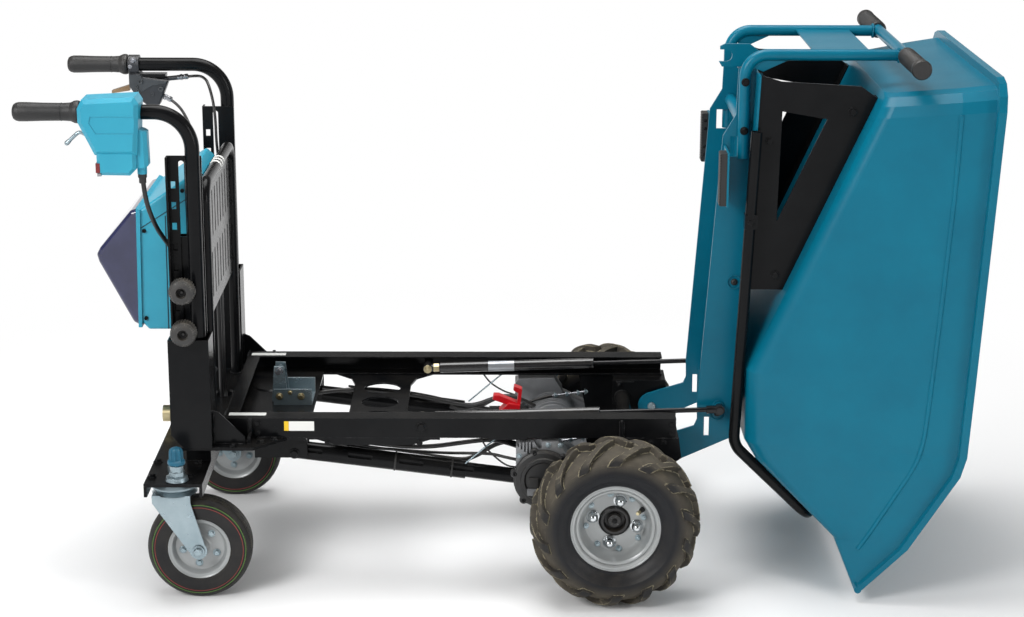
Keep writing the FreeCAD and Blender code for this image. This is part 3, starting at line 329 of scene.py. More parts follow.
def finish(name, base, shade, roughness, metallic=0.0, coat=0.0, coat_roughness=0.08, grain=900.0,
           relief=0.02, wear=0.2, worn_and_highlit=None, edge=0.0012, dust=0.1, dust_scale=14.0, ground=0.3, smear=0.06,
           specular=0.5):
    """Adds a solid finish: two close tones, lighter edges (wear, and on some finishes a painted highlight), dust,
    wiped gloss and fine relief.
    """
    material, tree, shader = new_material(name)
    surface = use(tree, GRAIN, Grain_Scale=grain)
    edges = use(tree, EDGES, Radius=edge, Amount=wear)
    settled = use(tree, DUST, Amount=dust, Scale=dust_scale, Ground_Share=ground)["Mask"]
    tone = ramp(tree, surface["Tone"], 0.35, 0.65)
    painted = mix_colour(tree, tone, colour(*base), colour(*shade))
    # Lighter edge tone: wear, and on the black paint and the knobs a painted highlight along the edges.
    scuffed_and_highlit = mix_colour(tree, edges["Mask"], painted, colour(*(worn_and_highlit or shade)))
    tree.links.new(mix_colour(tree, settled, scuffed_and_highlit, DUST_TONE), shader.inputs["Base Color"])
    wiped = math_node(tree, "ADD", use(tree, SMEARS, Strength=smear)["Change"], roughness)
    dulled = math_node(tree, "MULTIPLY_ADD", settled, DUST_DULLING, wiped, clamp=True)
    tree.links.new(dulled, shader.inputs["Roughness"])
    bump_from(tree, shader, surface, edges, relief * 10, RELIEF_DEPTH)
    set_shader(shader, Metallic=metallic, Specular_IOR_Level=specular, Coat_Weight=coat,
               Coat_Roughness=coat_roughness)
    MATERIALS[name] = material


def tyre_rubber():
    """Adds the tyres' rubber: dried soil on lugs and shoulders, also painted light and shade on the lugs, pale
    crumbs and a painted highlight on lug edges, dark on the side wall.
    """
    material, tree, shader = new_material("tyre")
    surface = use(tree, GRAIN, Grain_Scale=700.0, Tone_Scale=16.0)
    edges = use(tree, EDGES, Radius=0.0034, Amount=3.0, Breakup=50.0)
    settled = use(tree, DUST, Amount=0.16, Scale=18.0, Ground_Share=0.1)["Mask"]
    soil = add_node(tree, "ShaderNodeAttribute", attribute_name="soil").outputs["Fac"]
    patches = ramp(tree, surface["Tone"], 0.3, 0.72, 0.35, 1.0)
    soiled = math_node(tree, "MULTIPLY", soil, patches)
    rubber = mix_colour(tree, soiled, colour(20, 22, 27), colour(88, 82, 71))
    # Pale lug edges: soil crumbs, and a painted highlight along the edges.
    crumb_and_highlight_share = math_node(tree, "MULTIPLY", edges["Mask"], soil)
    crumbs_and_highlight = mix_colour(tree, crumb_and_highlight_share, rubber, colour(184, 174, 144))
    tree.links.new(mix_colour(tree, settled, crumbs_and_highlight, DUST_TONE), shader.inputs["Base Color"])
    set_shader(shader, Specular_IOR_Level=0.24)
    rough = ramp(tree, soil, 0.0, 1.0, 0.42, 0.8)
    tree.links.new(math_node(tree, "ADD", rough, use(tree, SMEARS, Scale=20.0)["Change"]),
                   shader.inputs["Roughness"])
    bump_from(tree, shader, surface, edges, 0.35, 0.0006)
    MATERIALS["tyre"] = material


# Black paint: its pale edge tone is a painted highlight along the edges.
finish("black_paint", (11, 12, 14), (17, 18, 20), 0.2, wear=0.5, worn_and_highlit=(96, 96, 98), dust=0.03,
       specular=0.14)
finish("teal_paint", (0, 106, 131), (0, 99, 124), 0.3, specular=0.24, wear=0.3, worn_and_highlit=(60, 158, 182),
       dust=0.01, smear=0.05)
finish("teal_plastic", (44, 158, 184), (36, 150, 178), 0.36, wear=0.3, worn_and_highlit=(110, 200, 218), relief=0.03,
       dust=0.08)
finish("navy_cover", (24, 27, 62), (40, 44, 84), 0.12, coat=0.8, coat_roughness=0.04, wear=0.2,
       worn_and_highlit=(90, 96, 140), relief=0.005, dust=0.12)
finish("zinc", (168, 182, 188), (138, 156, 164), 0.28, metallic=0.8, grain=1400.0, relief=0.03, wear=0.4,
       worn_and_highlit=(226, 228, 230), dust=0.14, smear=0.12)
finish("cast_alloy", (150, 152, 154), (124, 126, 130), 0.46, metallic=0.7, grain=700.0, relief=0.06,
       wear=0.5, worn_and_highlit=(206, 208, 210), dust=0.3)
finish("rim_paint", (160, 163, 163), (148, 151, 152), 0.36, metallic=0.25, coat=0.3, coat_roughness=0.15,
       wear=0.3, worn_and_highlit=(206, 206, 206), dust=0.12)
tyre_rubber()
finish("rubber", (24, 24, 25), (33, 33, 34), 0.48, grain=1100.0, relief=0.04, wear=0.3, worn_and_highlit=(84, 84, 84),
       dust=0.08)
finish("black_plastic", (26, 27, 29), (35, 36, 38), 0.42, grain=1500.0, relief=0.04, wear=0.5,
       worn_and_highlit=(110, 112, 112), dust=0.16, dust_scale=40.0)
finish("red_plastic", (205, 18, 32), (186, 12, 26), 0.34, wear=0.3, worn_and_highlit=(226, 92, 92), dust=0.1)
finish("brass", (208, 196, 160), (182, 166, 124), 0.34, metallic=1.0, wear=0.4, worn_and_highlit=(232, 226, 204),
       dust=0.2)
finish("strut_black", (18, 18, 20), (26, 26, 28), 0.22, coat=0.6, wear=0.2, worn_and_highlit=(96, 96, 96), dust=0.08)
finish("steel", (176, 178, 182), (150, 152, 158), 0.24, metallic=1.0, wear=0.3, worn_and_highlit=(220, 220, 222),
       dust=0.12)
finish("label_white", (232, 232, 228), (222, 222, 218), 0.42, wear=0.2, edge=0.0003, worn_and_highlit=(190, 190, 186),
       dust=0.15)
finish("label_yellow", (238, 196, 30), (228, 184, 24), 0.42, wear=0.2, edge=0.0003, worn_and_highlit=(246, 226, 140),
       dust=0.15)
finish("label_silver", (176, 180, 184), (158, 162, 168), 0.3, metallic=0.8, wear=0.2, edge=0.0003, dust=0.1)
finish("chrome", (214, 218, 220), (196, 202, 206), 0.12, metallic=1.0, relief=0.01, wear=0.2, dust=0.06,
       smear=0.04)
# Knob plastic: its pale edge tone is a painted highlight along the rib edges.
finish("knob_plastic", (38, 38, 39), (52, 52, 52), 0.5, grain=1500.0, relief=0.05, wear=1.0,
       worn_and_highlit=(150, 148, 142), edge=0.0009, dust=0.45, dust_scale=60.0, ground=0.0)
finish("line_green", (92, 140, 58), (78, 120, 48), 0.6, dust=0.2)
finish("line_red", (150, 52, 44), (120, 44, 38), 0.6, dust=0.2)
finish("hub_black", (10, 10, 12), (16, 16, 18), 0.3, relief=0.01, wear=0.4, worn_and_highlit=(120, 120, 122), dust=0.1)
finish("cast_alloy_dark", (84, 88, 92), (66, 70, 74), 0.44, metallic=0.5, grain=700.0, relief=0.08,
       wear=0.6, worn_and_highlit=(170, 172, 174), dust=0.2)
finish("rod_dark", (26, 26, 28), (34, 34, 36), 0.16, metallic=0.4, relief=0.0, wear=0.1, dust=0.03)
finish("housing_grey", (58, 61, 66), (48, 51, 56), 0.36, metallic=0.3, grain=900.0, relief=0.06, wear=0.6,
       worn_and_highlit=(150, 152, 154), dust=0.15)
finish("knob_teal", (0, 98, 126), (0, 84, 110), 0.42, wear=0.4, worn_and_highlit=(70, 170, 194), relief=0.04, dust=0.1)
finish("switch_red", (120, 10, 14), (96, 6, 10), 0.22, coat=0.5, dust=0.05)
finish("seam_dark", (14, 60, 74), (10, 50, 64), 0.6, relief=0.0, dust=0.0)
finish("sheath", (17, 17, 19), (25, 25, 27), 0.34, grain=1300.0, relief=0.02, wear=0.1, worn_and_highlit=(80, 80, 80),
       dust=0.12)
finish("lever_bronze", (176, 150, 120), (140, 116, 90), 0.34, metallic=0.8, relief=0.02, wear=0.4,
       worn_and_highlit=(220, 206, 184), dust=0.1)


def dress_cad_nodes():
    """Finishes of the CAD nodes: their slot's, or one of their own."""
    own = {"latch": "teal_paint", "brake_lever": "lever_bronze", "brake_housing": "housing_grey",
           "strut_rod_left": "rod_dark", "strut_rod_right": "rod_dark"}
    for part in frame["record"]["subparts"]:
        slots = nodes[part["node"]].data.materials
        slots.clear()
        slots.append(MATERIALS[own.get(part["node"], part["material_slot"])])


# ---- making pieces --------------------------------------------------------
DRIVE_AXLE = joint_at["drive_wheel_spin_left"]
CASTER_AXLE = joint_at["caster_spin_left"]
TO_Y = Matrix.Rotation(-math.pi / 2, 4, "X")
TO_MINUS_Y = Matrix.Rotation(math.pi / 2, 4, "X")
templates = []


def at(x, y, z):
    """Point from the part's drawing millimetres, which count x from the drive axle."""
    return Vector((x / 1000 + DRIVE_AXLE.x, y / 1000, z / 1000))


def sided(point, side):
    return Vector((point.x, point.y * side, point.z))


def facing_out(side):
    """Turn from Z to the direction that looks out from one side of the machine."""
    return TO_Y if side > 0 else TO_MINUS_Y


def new_mesh(name, points, faces, matrix=None):
    """Mesh with its doubles merged and its faces turned outwards."""
    form = bmesh.new()
    made = [form.verts.new(p) for p in points]
    for face in faces:
        form.faces.new([made[i] for i in face])
    bmesh.ops.remove_doubles(form, verts=form.verts, dist=1e-6)
    bmesh.ops.dissolve_degenerate(form, edges=form.edges, dist=1e-6)
    bmesh.ops.recalc_face_normals(form, faces=form.faces)
    if matrix is not None:
        form.transform(matrix)
    mesh = bpy.data.meshes.new(name)
    form.to_mesh(mesh)
    form.free()
    return mesh


def spun(outline, steps):
    """Points and faces of a closed (radius, height) outline turned about Z."""
    rows = len(outline)
    points = []
    faces = []
    for i in range(steps):
        angle = TURN * (i + 0.5) / steps
        points += [(r * math.cos(angle), r * math.sin(angle), h) for r, h in outline]
        ahead = (i + 1) % steps
        for j in range(rows):
            k = (j + 1) % rows
            faces.append((i * rows + j, ahead * rows + j, ahead * rows + k, i * rows + k))
    return points, faces


def lofted(rings):
    """Points and faces through rings of equally many points, with both ends capped."""
    size = len(rings[0])
    points = [p for ring in rings for p in ring]
    faces = []
    for i in range(len(rings) - 1):
        a, b = i * size, (i + 1) * size
        faces += [(a + j, b + j, b + (j + 1) % size, a + (j + 1) % size) for j in range(size)]
    faces.append(tuple(range(size)))
    faces.append(tuple(range(len(points) - size, len(points))))
    return points, faces


def template(name, shape, matrix=None):
    """Object that a growth tree copies; it is removed when all pieces are made."""
    mesh = shape if isinstance(shape, bpy.types.Mesh) else new_mesh(name, *shape, matrix)
    smooth_by_angle(mesh, 35)
    made = bpy.data.objects.new(name, mesh)
    scene.collection.objects.link(made)
    templates.append(made)
    return made


def smooth_by_angle(mesh, degrees):
    mesh.shade_smooth()
    mesh.set_sharp_from_angle(angle=math.radians(degrees))


def keep(name, mesh, body, finish_name, degrees=35, *replaced):
    """Finished piece: a mesh at the origin that rides on its body in the finish of a material slot."""
    mesh.name = name
    if not mesh.materials:
        mesh.materials.append(MATERIALS[finish_name])
    smooth_by_angle(mesh, degrees)
    piece = bpy.data.objects.new(name, mesh)
    scene.collection.objects.link(piece)
    if body:
        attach(piece, body)
    if replaced:
        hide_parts(*replaced)
    return piece


# ---- growth trees ---------------------------------------------------------
def new_growth(name, inputs):
    tree = bpy.data.node_groups.new(name, "GeometryNodeTree")
    tree.interface.new_socket("Geometry", in_out="INPUT", socket_type="NodeSocketGeometry")
    for label, kind, value in inputs + [("Material", "Material", None)]:
        socket = tree.interface.new_socket(label, in_out="INPUT", socket_type="NodeSocket" + kind)
        if value is not None:
            socket.default_value = value
    tree.interface.new_socket("Geometry", in_out="OUTPUT", socket_type="NodeSocketGeometry")
    return tree, add_node(tree, "NodeGroupInput").outputs, add_node(tree, "NodeGroupOutput")


def end_growth(tree, given, out, *parts):
    joined = add_node(tree, "GeometryNodeJoinGeometry")
    for part in parts:
        tree.links.new(part, joined.inputs[0])
    real = add_node(tree, "GeometryNodeRealizeInstances", {"Geometry": joined.outputs[0]}).outputs[0]
    dressed = add_node(tree, "GeometryNodeSetMaterial", {"Geometry": real, "Material": given["Material"]})
    tree.links.new(dressed.outputs[0], out.inputs["Geometry"])
    return tree


def copied(tree, piece, spots, rotation=None, scale=None):
    """Instances of a template object on points."""
    shape = add_node(tree, "GeometryNodeObjectInfo", {"Object": piece}).outputs["Geometry"]
    made = add_node(tree, "GeometryNodeInstanceOnPoints", {"Points": spots, "Instance": shape})
    if rotation is not None:
        tree.links.new(rotation, made.inputs["Rotation"])
    if scale is not None:
        tree.links.new(scale, made.inputs["Scale"])
    return made.outputs[0]


def turned_copies(tree, piece, count, phase, centre):
    """Copies set round an axle that lies along Y."""
    spots = add_node(tree, "GeometryNodePoints", {"Count": count, "Position": centre}).outputs[0]
    place = add_node(tree, "GeometryNodeInputIndex").outputs[0]
    step = math_node(tree, "DIVIDE", TURN, count)
    angle = math_node(tree, "MULTIPLY_ADD", place, step, phase)
    around = add_node(tree, "ShaderNodeCombineXYZ", {"Y": angle}).outputs[0]
    rotation = add_node(tree, "FunctionNodeEulerToRotation", {0: around}).outputs[0]
    return copied(tree, piece, spots, rotation)


def ring_growth():
    tree, given, out = new_growth("pieces_round_axle", [("Piece", "Object", None), ("Count", "Int", 8),
                                                        ("Phase", "Float", 0.0),
                                                        ("Centre", "Vector", (0, 0, 0))])
    copies = turned_copies(tree, given["Piece"], given["Count"], given["Phase"], given["Centre"])
    return end_growth(tree, given, out, given["Geometry"], copies)


def tread_growth():
    """A tyre's carcass with a row of lugs on each shoulder, half a pitch apart."""
    tree, given, out = new_growth("lugged_tyre", [("Outer Lug", "Object", None),
                                                  ("Inner Lug", "Object", None), ("Lug Count", "Int", 14),
                                                  ("Phase", "Float", 0.0), ("Centre", "Vector", (0, 0, 0))])
    half = math_node(tree, "DIVIDE", math.pi, given["Lug Count"])
    near = turned_copies(tree, given["Outer Lug"], given["Lug Count"], given["Phase"], given["Centre"])
    shifted = math_node(tree, "ADD", given["Phase"], half)
    far = turned_copies(tree, given["Inner Lug"], given["Lug Count"], shifted, given["Centre"])
    return end_growth(tree, given, out, given["Geometry"], near, far)


def spot_growth():
    """A fastener on every point, along the point's own axis and in its own size."""
    tree, given, out = new_growth("fasteners_on_spots", [("Piece", "Object", None), ("Seed", "Int", 3)])
    axis = add_node(tree, "GeometryNodeInputNamedAttribute", {"Name": "axis"},
                    data_type="FLOAT_VECTOR").outputs[0]
    size = add_node(tree, "GeometryNodeInputNamedAttribute", {"Name": "size"}, data_type="FLOAT").outputs[0]
    turn = add_node(tree, "FunctionNodeAlignRotationToVector", {"Vector": axis}, axis="Z").outputs[0]
    spin = add_node(tree, "FunctionNodeRandomValue", {"Seed": given["Seed"]}, data_type="FLOAT")
    spin.inputs["Min"].default_value = 0.0
    spin.inputs[3].default_value = TURN
    about = add_node(tree, "ShaderNodeCombineXYZ", {"Z": spin.outputs[1]}).outputs[0]
    twist = add_node(tree, "FunctionNodeEulerToRotation", {0: about}).outputs[0]
    both = add_node(tree, "FunctionNodeRotateRotation", {0: turn, 1: twist},
                    rotation_space="LOCAL").outputs[0]
    return end_growth(tree, given, out, copied(tree, given["Piece"], given["Geometry"], both, size))


def bead_growth():
    """Overlapping drops of a weld along a line."""
    tree, given, out = new_growth("weld_bead", [("Drop", "Object", None), ("Pitch", "Float", 0.0028),
                                                ("Seed", "Int", 5)])
    line = add_node(tree, "GeometryNodeMeshToCurve", {"Mesh": given["Geometry"]}).outputs[0]
    spots = add_node(tree, "GeometryNodeCurveToPoints", {"Curve": line, "Length": given["Pitch"]},
                     mode="LENGTH")
    size = add_node(tree, "FunctionNodeRandomValue", {"Seed": given["Seed"]}, data_type="FLOAT")
    size.inputs[2].default_value = 0.8
    size.inputs[3].default_value = 1.15
    drops = copied(tree, given["Drop"], spots.outputs[0], spots.outputs["Rotation"], size.outputs[1])
    return end_growth(tree, given, out, drops)


def tube_growth():
    """A round tube along a line, its ends closed."""
    tree, given, out = new_growth("tube_along_line", [("Radius", "Float", 0.003), ("Sides", "Int", 12)])
    line = add_node(tree, "GeometryNodeMeshToCurve", {"Mesh": given["Geometry"]}).outputs[0]
    ring = add_node(tree, "GeometryNodeCurvePrimitiveCircle", {"Resolution": given["Sides"],
                                                               "Radius": given["Radius"]}).outputs[0]
    tube = add_node(tree, "GeometryNodeCurveToMesh", {"Curve": line, "Profile Curve": ring,
                                                      "Fill Caps": True})
    return end_growth(tree, given, out, tube.outputs[0])


def row_growth():
    """Copies of a piece in a straight row."""
    tree, given, out = new_growth("pieces_in_row", [("Piece", "Object", None), ("Start", "Vector", (0, 0, 0)),
                                                    ("End", "Vector", (0, 0, 0)), ("Count", "Int", 4)])
    line = add_node(tree, "GeometryNodeMeshLine", {"Count": given["Count"], "Start Location": given["Start"],
                                                   "Offset": given["End"]}, mode="END_POINTS").outputs[0]
    return end_growth(tree, given, out, copied(tree, given["Piece"], line))


RING, TREAD, SPOTS = ring_growth(), tread_growth(), spot_growth()
BEAD, TUBE, ROW = bead_growth(), tube_growth(), row_growth()


def grow(tree, base, finish_name, **values):
    """Plain mesh of a growth tree run on a base mesh; an underscore in a value's name stands for a space."""
    maker = bpy.data.objects.new("maker", base or bpy.data.meshes.new("empty"))
    scene.collection.objects.link(maker)
    modifier = maker.modifiers.new("grow", "NODES")
    modifier.node_group = tree
    values["Material"] = MATERIALS[finish_name]
    for item in tree.interface.items_tree:
        label = item.name.replace(" ", "_")
        if item.in_out == "INPUT" and label in values:
            modifier[item.identifier] = values[label]
    ready = maker.evaluated_get(bpy.context.evaluated_depsgraph_get())
    mesh = bpy.data.meshes.new_from_object(ready)
    bpy.data.objects.remove(maker)
    return mesh


def line_mesh(points):
    mesh = bpy.data.meshes.new("line")
    mesh.from_pydata(points, [(i, i + 1) for i in range(len(points) - 1)], [])
    return mesh


def smooth_line(points):
    """Points along one smooth spline that the given points control."""
    data = bpy.data.curves.new("route", "CURVE")
    data.dimensions = "3D"
    data.resolution_u = 10
    spline = data.splines.new("NURBS")
    spline.points.add(len(points) - 1)
    for target, point in zip(spline.points, points):
        target.co = (*point, 1)
    spline.order_u = 3
    spline.use_endpoint_u = True
    route = bpy.data.objects.new("route", data)
    scene.collection.objects.link(route)
    flat = bpy.data.meshes.new_from_object(route.evaluated_get(bpy.context.evaluated_depsgraph_get()))
    line = [v.co.copy() for v in flat.vertices]
    bpy.data.objects.remove(route)
    return line


def attribute(mesh, name, values):
    made = mesh.attributes.new(name, "FLOAT", "POINT")
    made.data.foreach_set("value", values)


# ---- fasteners ------------------------------------------------------------
def hexagon(height, radius, top=0.85):
    return spun([(0, 0), (radius, 0), (radius, height * 0.82), (radius * top, height), (0, height)], 6)


def merged(*shapes):
    points = []
    faces = []
    for some, rim in shapes:
        start = len(points)
        points += list(some)
        faces += [tuple(i + start for i in face) for face in rim]
    return points, faces


def lifted(shape, height):
    return [(x, y, z + height) for x, y, z in shape[0]], shape[1]


def washer(radius, height):
    return spun([(0, 0), (radius, 0), (radius, height * 0.7), (radius * 0.95, height), (0, height)], 20)


def make_fasteners():
    """Fasteners about the origin, along Z, for a hexagon of one millimetre radius."""
    unit = Matrix.Scale(0.001, 4)
    bolt = merged(washer(1.35, 0.28), lifted(hexagon(0.72, 1.0), 0.28))
    stud = spun([(0, 0), (0.5, 0), (0.5, 1.3), (0.42, 1.4), (0, 1.4)], 12)
    nut = merged(washer(1.35, 0.28), lifted(hexagon(0.8, 1.0, 0.9), 0.28), lifted(stud, 0.2))
    dome = spun([(0, 0), (1.25, 0), (1.25, 0.25), (0.95, 0.4), (0.95, 1.0), (0.86, 1.4), (0.66, 1.72),
                 (0.36, 1.92), (0, 2.0)], 20)
    socket = spun([(0, 0), (1.0, 0), (1.0, 0.85), (0.93, 0.95), (0.55, 0.95), (0.55, 0.4), (0, 0.4)], 18)
    button = spun([(0, 0), (1.0, 0), (0.92, 0.3), (0.7, 0.52), (0.4, 0.6), (0.3, 0.6), (0.28, 0.35),
                   (0, 0.35)], 16)
    shapes = {"bolt": bolt, "nut": nut, "dome": dome, "socket": socket, "button": button}
    return {name: template(name, shape, unit) for name, shape in shapes.items()}


FASTENERS = make_fasteners()
NEAR, FAR, UP, AHEAD = (0, -1, 0), (0, 1, 0), (0, 0, 1), (1, 0, 0)


def fasten(name, body, kind, finish_name, places):
    """Fasteners of one kind on one body; each place is a point, an axis and the hexagon's radius in mm."""
    base = bpy.data.meshes.new("spots")
    base.from_pydata([p for p, _, _ in places], [], [])
    axis = base.attributes.new("axis", "FLOAT_VECTOR", "POINT")
    axis.data.foreach_set("vector", [c for _, a, _ in places for c in a])
    attribute(base, "size", [size for _, _, size in places])
    return keep(name, grow(SPOTS, base, finish_name, Piece=FASTENERS[kind]), body, finish_name)


def heads(axis, *rows):
    """Places of (x, y, z, size) rows in drawing millimetres, all facing along one axis."""
    return [(at(x, y, z), axis, size) for x, y, z, size in rows]


def on_both_sides(places):
    """Places drawn for the left side, and the same ones on the right."""
    flipped = [(Vector((p.x, -p.y, p.z)), (a[0], -a[1], a[2]), size) for p, a, size in places]
    return places + flipped


def rod_shape(start, end, radius):
    """Points and faces of a short round bar between two points."""
    steps = 20
    way = end - start
    across = way.orthogonal().normalized()
    other = way.normalized().cross(across)
    rings = []
    for place in (start, end):
        ring = []
        for i in range(steps):
            angle = TURN * i / steps
            ring.append(place + (across * math.cos(angle) + other * math.sin(angle)) * radius)
        rings.append(ring)
    return lofted(rings)


# ---- small helpers --------------------------------------------------------
def tube(name, body, finish_name, points, radius, sides=14):
    """Round tube on the smooth line that the points, in drawing millimetres, control."""
    line = line_mesh(smooth_line([at(*p) for p in points]))
    return keep(name, grow(TUBE, line, finish_name, Radius=radius / 1000, Sides=sides), body, finish_name, 40)


def rounded_plate(centre, across, up, width, height, corner, thickness):
    """Flat plate with round corners, in metres; its face looks along across x up."""
    across, up = Vector(across), Vector(up)
    out = across.cross(up)
    ring = []
    for i in range(20):
        angle = TURN * (i + 0.5) / 20
        x = math.copysign(width / 2 - corner, math.cos(angle)) + corner * math.cos(angle)
        y = math.copysign(height / 2 - corner, math.sin(angle)) + corner * math.sin(angle)
        ring.append(centre + across * x + up * y)
    inner = [centre + (p - centre) * 0.97 + out * thickness for p in ring]
    return lofted([ring, [p + out * thickness * 0.7 for p in ring], inner])


def plates(name, body, finish_name, *shapes):
    return keep(name, new_mesh(name, *merged(*shapes)), body, finish_name, 30)


def turned_piece(name, body, finish_name, outline, place, *replaced, steps=48, degrees=30):
    """Piece of a closed (radius, height) outline in metres, turned about Z and set at a matrix."""
    return keep(name, new_mesh(name, *spun(outline, steps), place), body, finish_name, degrees, *replaced)


def upright(x, y, z):
    return Matrix.Translation(at(x, y, z))


def facing(x, y, z, axis):
    """Matrix that sets a piece turned about Z at a point, its Z along the axis."""
    return Matrix.Translation(at(x, y, z)) @ Vector(axis).to_track_quat("Z", "Y").to_matrix().to_4x4()


def beads(name, body, finish_name, lines, radius=0.0021):
    """Weld beads along lines in drawing millimetres, of one drop size."""
    base = bpy.data.meshes.new("seams")
    points = []
    edges = []
    for line in lines:
        start = len(points)
        points += [at(*p) for p in line]
        edges += [(i, i + 1) for i in range(start, start + len(line) - 1)]
    base.from_pydata(points, edges, [])
    return keep(name, grow(BEAD, base, finish_name, Drop=DROPS[radius], Pitch=radius * 1.25), body,
                finish_name, 60)


def circle(x, y, z, radius, axis):
    """Closed ring of points in drawing millimetres about an axis through a point."""
    steps = 28
    turn = Vector(axis).to_track_quat("Z", "Y")
    points = []
    for i in range(steps + 1):
        angle = TURN * i / steps
        arm = Vector((radius * math.cos(angle), radius * math.sin(angle), 0))
        points.append(tuple(Vector((x, y, z)) + turn @ arm))
    return points


def turned_ring(x, y, z, axis, radius, width):
    """Points and faces of a thin band round a tube, in drawing millimetres."""
    r, w = radius / 1000, width / 2000
    points, faces = spun([(r - 0.0008, -w), (r, -w), (r + 0.0008, -w * 0.7), (r + 0.0008, w * 0.7), (r, w),
                          (r - 0.0008, w)], 36)
    place = facing(x, y, z, axis)
    return [place @ Vector(p) for p in points], faces


def plate_shape(points, half):
    """Flat plate of an outline in drawing millimetres, thick by half on each side across the machine."""
    shift = Vector(FAR) * half / 1000
    ring = [at(*p) for p in points]
    return lofted([[p - shift for p in ring], [p + shift for p in ring]])


def block(x0, x1, y0, y1, z0, z1):
    """Upright block between two corners, in drawing millimetres."""
    y = (y0 + y1) / 2
    return plate_shape([(x0, y, z0), (x1, y, z0), (x1, y, z1), (x0, y, z1)], abs(y1 - y0) / 2)


def make_drop(radius):
    outline = [(0, -radius * 0.8), (radius * 0.75, -radius * 0.45), (radius, 0),
               (radius * 0.75, radius * 0.5), (0, radius * 0.85)]
    return template("drop", spun(outline, 7))


DROPS = {radius: make_drop(radius) for radius in (0.0021, 0.0030)}


# ---- drive wheels ---------------------------------------------------------
def soil_share(radius):
    """How much dried soil a tyre keeps: all on the tread, none near the bead."""
    return min(max((radius - 0.118) / 0.022, 0.0), 1.0)


def tyre_carcass(side):
    crown = [(0.1525, 0.0), (0.1515, 0.022), (0.1480, 0.040), (0.1425, 0.050), (0.1360, 0.0555),
             (0.1280, 0.0580), (0.1190, 0.0588), (0.1165, 0.0600), (0.1130, 0.0600), (0.1110, 0.0580),
             (0.1030, 0.0550), (0.0960, 0.0500), (0.0915, 0.0460), (0.0885, 0.0458), (0.0870, 0.0430),
             (0.0790, 0.0400)]
    outline = [(r, -d) for r, d in reversed(crown)] + crown[1:]
    points, faces = spun(outline, 112)
    mesh = new_mesh("carcass", points, faces, Matrix.Translation(sided(DRIVE_AXLE, side)) @ TO_Y)
    axle = sided(DRIVE_AXLE, side)
    shares = []
    for v in mesh.vertices:
        shares.append(soil_share(math.hypot(v.co.x - axle.x, v.co.z - axle.z)))
    attribute(mesh, "soil", shares)
    return mesh


def lug(name, side):
    """Bar of the tread, from the shoulder to past the middle, swept back as it goes."""
    outer = [(0.1335, 0.0622), (0.1420, 0.0615), (0.1490, 0.0585), (0.1545, 0.0530), (0.1585, 0.0445),
             (0.1620, 0.0330), (0.1645, 0.0200), (0.1650, 0.0060), (0.1650, -0.0050)]
    inner = [(0.1320, 0.0550), (0.1395, 0.0515), (0.1450, 0.0455), (0.1475, 0.0400), (0.1490, 0.0340),
             (0.1502, 0.0260), (0.1514, 0.0180), (0.1520, 0.0060), (0.1520, -0.0050)]
    sweep = math.radians(25)
    rings = []
    for i, ((ro, yo), (ri, yi)) in enumerate(zip(outer, inner)):
        part = i / (len(outer) - 1)
        middle = sweep * part ** 1.15
        width = 0.0195 - 0.0065 * part
        ring = []
        for r, y, w in ((ro, yo, -width), (ro, yo, width), (ri, yi, width * 1.25), (ri, yi, -width * 1.25)):
            angle = middle + w / 2 / r
            ring.append((r * math.cos(angle), side * y, -r * math.sin(angle)))
        rings.append(ring)
    mesh = new_mesh(name, *lofted(rings))
    # The soil share rises from the lug's foot to its crest; besides soil, this paints the crest lighter as light
    # and the flanks darker as shade.
    heights = [math.hypot(v.co.x, v.co.z) - 0.1425 for v in mesh.vertices]
    attribute(mesh, "soil", [min(max(height / 0.012, 0.12), 0.9) for height in heights])
    return template(name, mesh)


def drive_tyres():
    lugs = {1: lug("lug_left", 1), -1: lug("lug_right", -1)}
    for label, side in SIDES:
        mesh = grow(TREAD, tyre_carcass(side), "tyre", Outer_Lug=lugs[side], Inner_Lug=lugs[-side],
                    Lug_Count=14, Phase=0.18, Centre=sided(DRIVE_AXLE, side))
        keep(f"drive_tread_{label}", mesh, f"drive_wheel_{label}", "tyre", 32, f"drive_tyre_{label}")


def on_disc(turn, radius, degrees, depth):
    """Point on a wheel's disc, at a radius and an angle about the axle."""
    angle = math.radians(degrees)
    return turn @ Vector((radius * math.cos(angle), radius * math.sin(angle), depth))


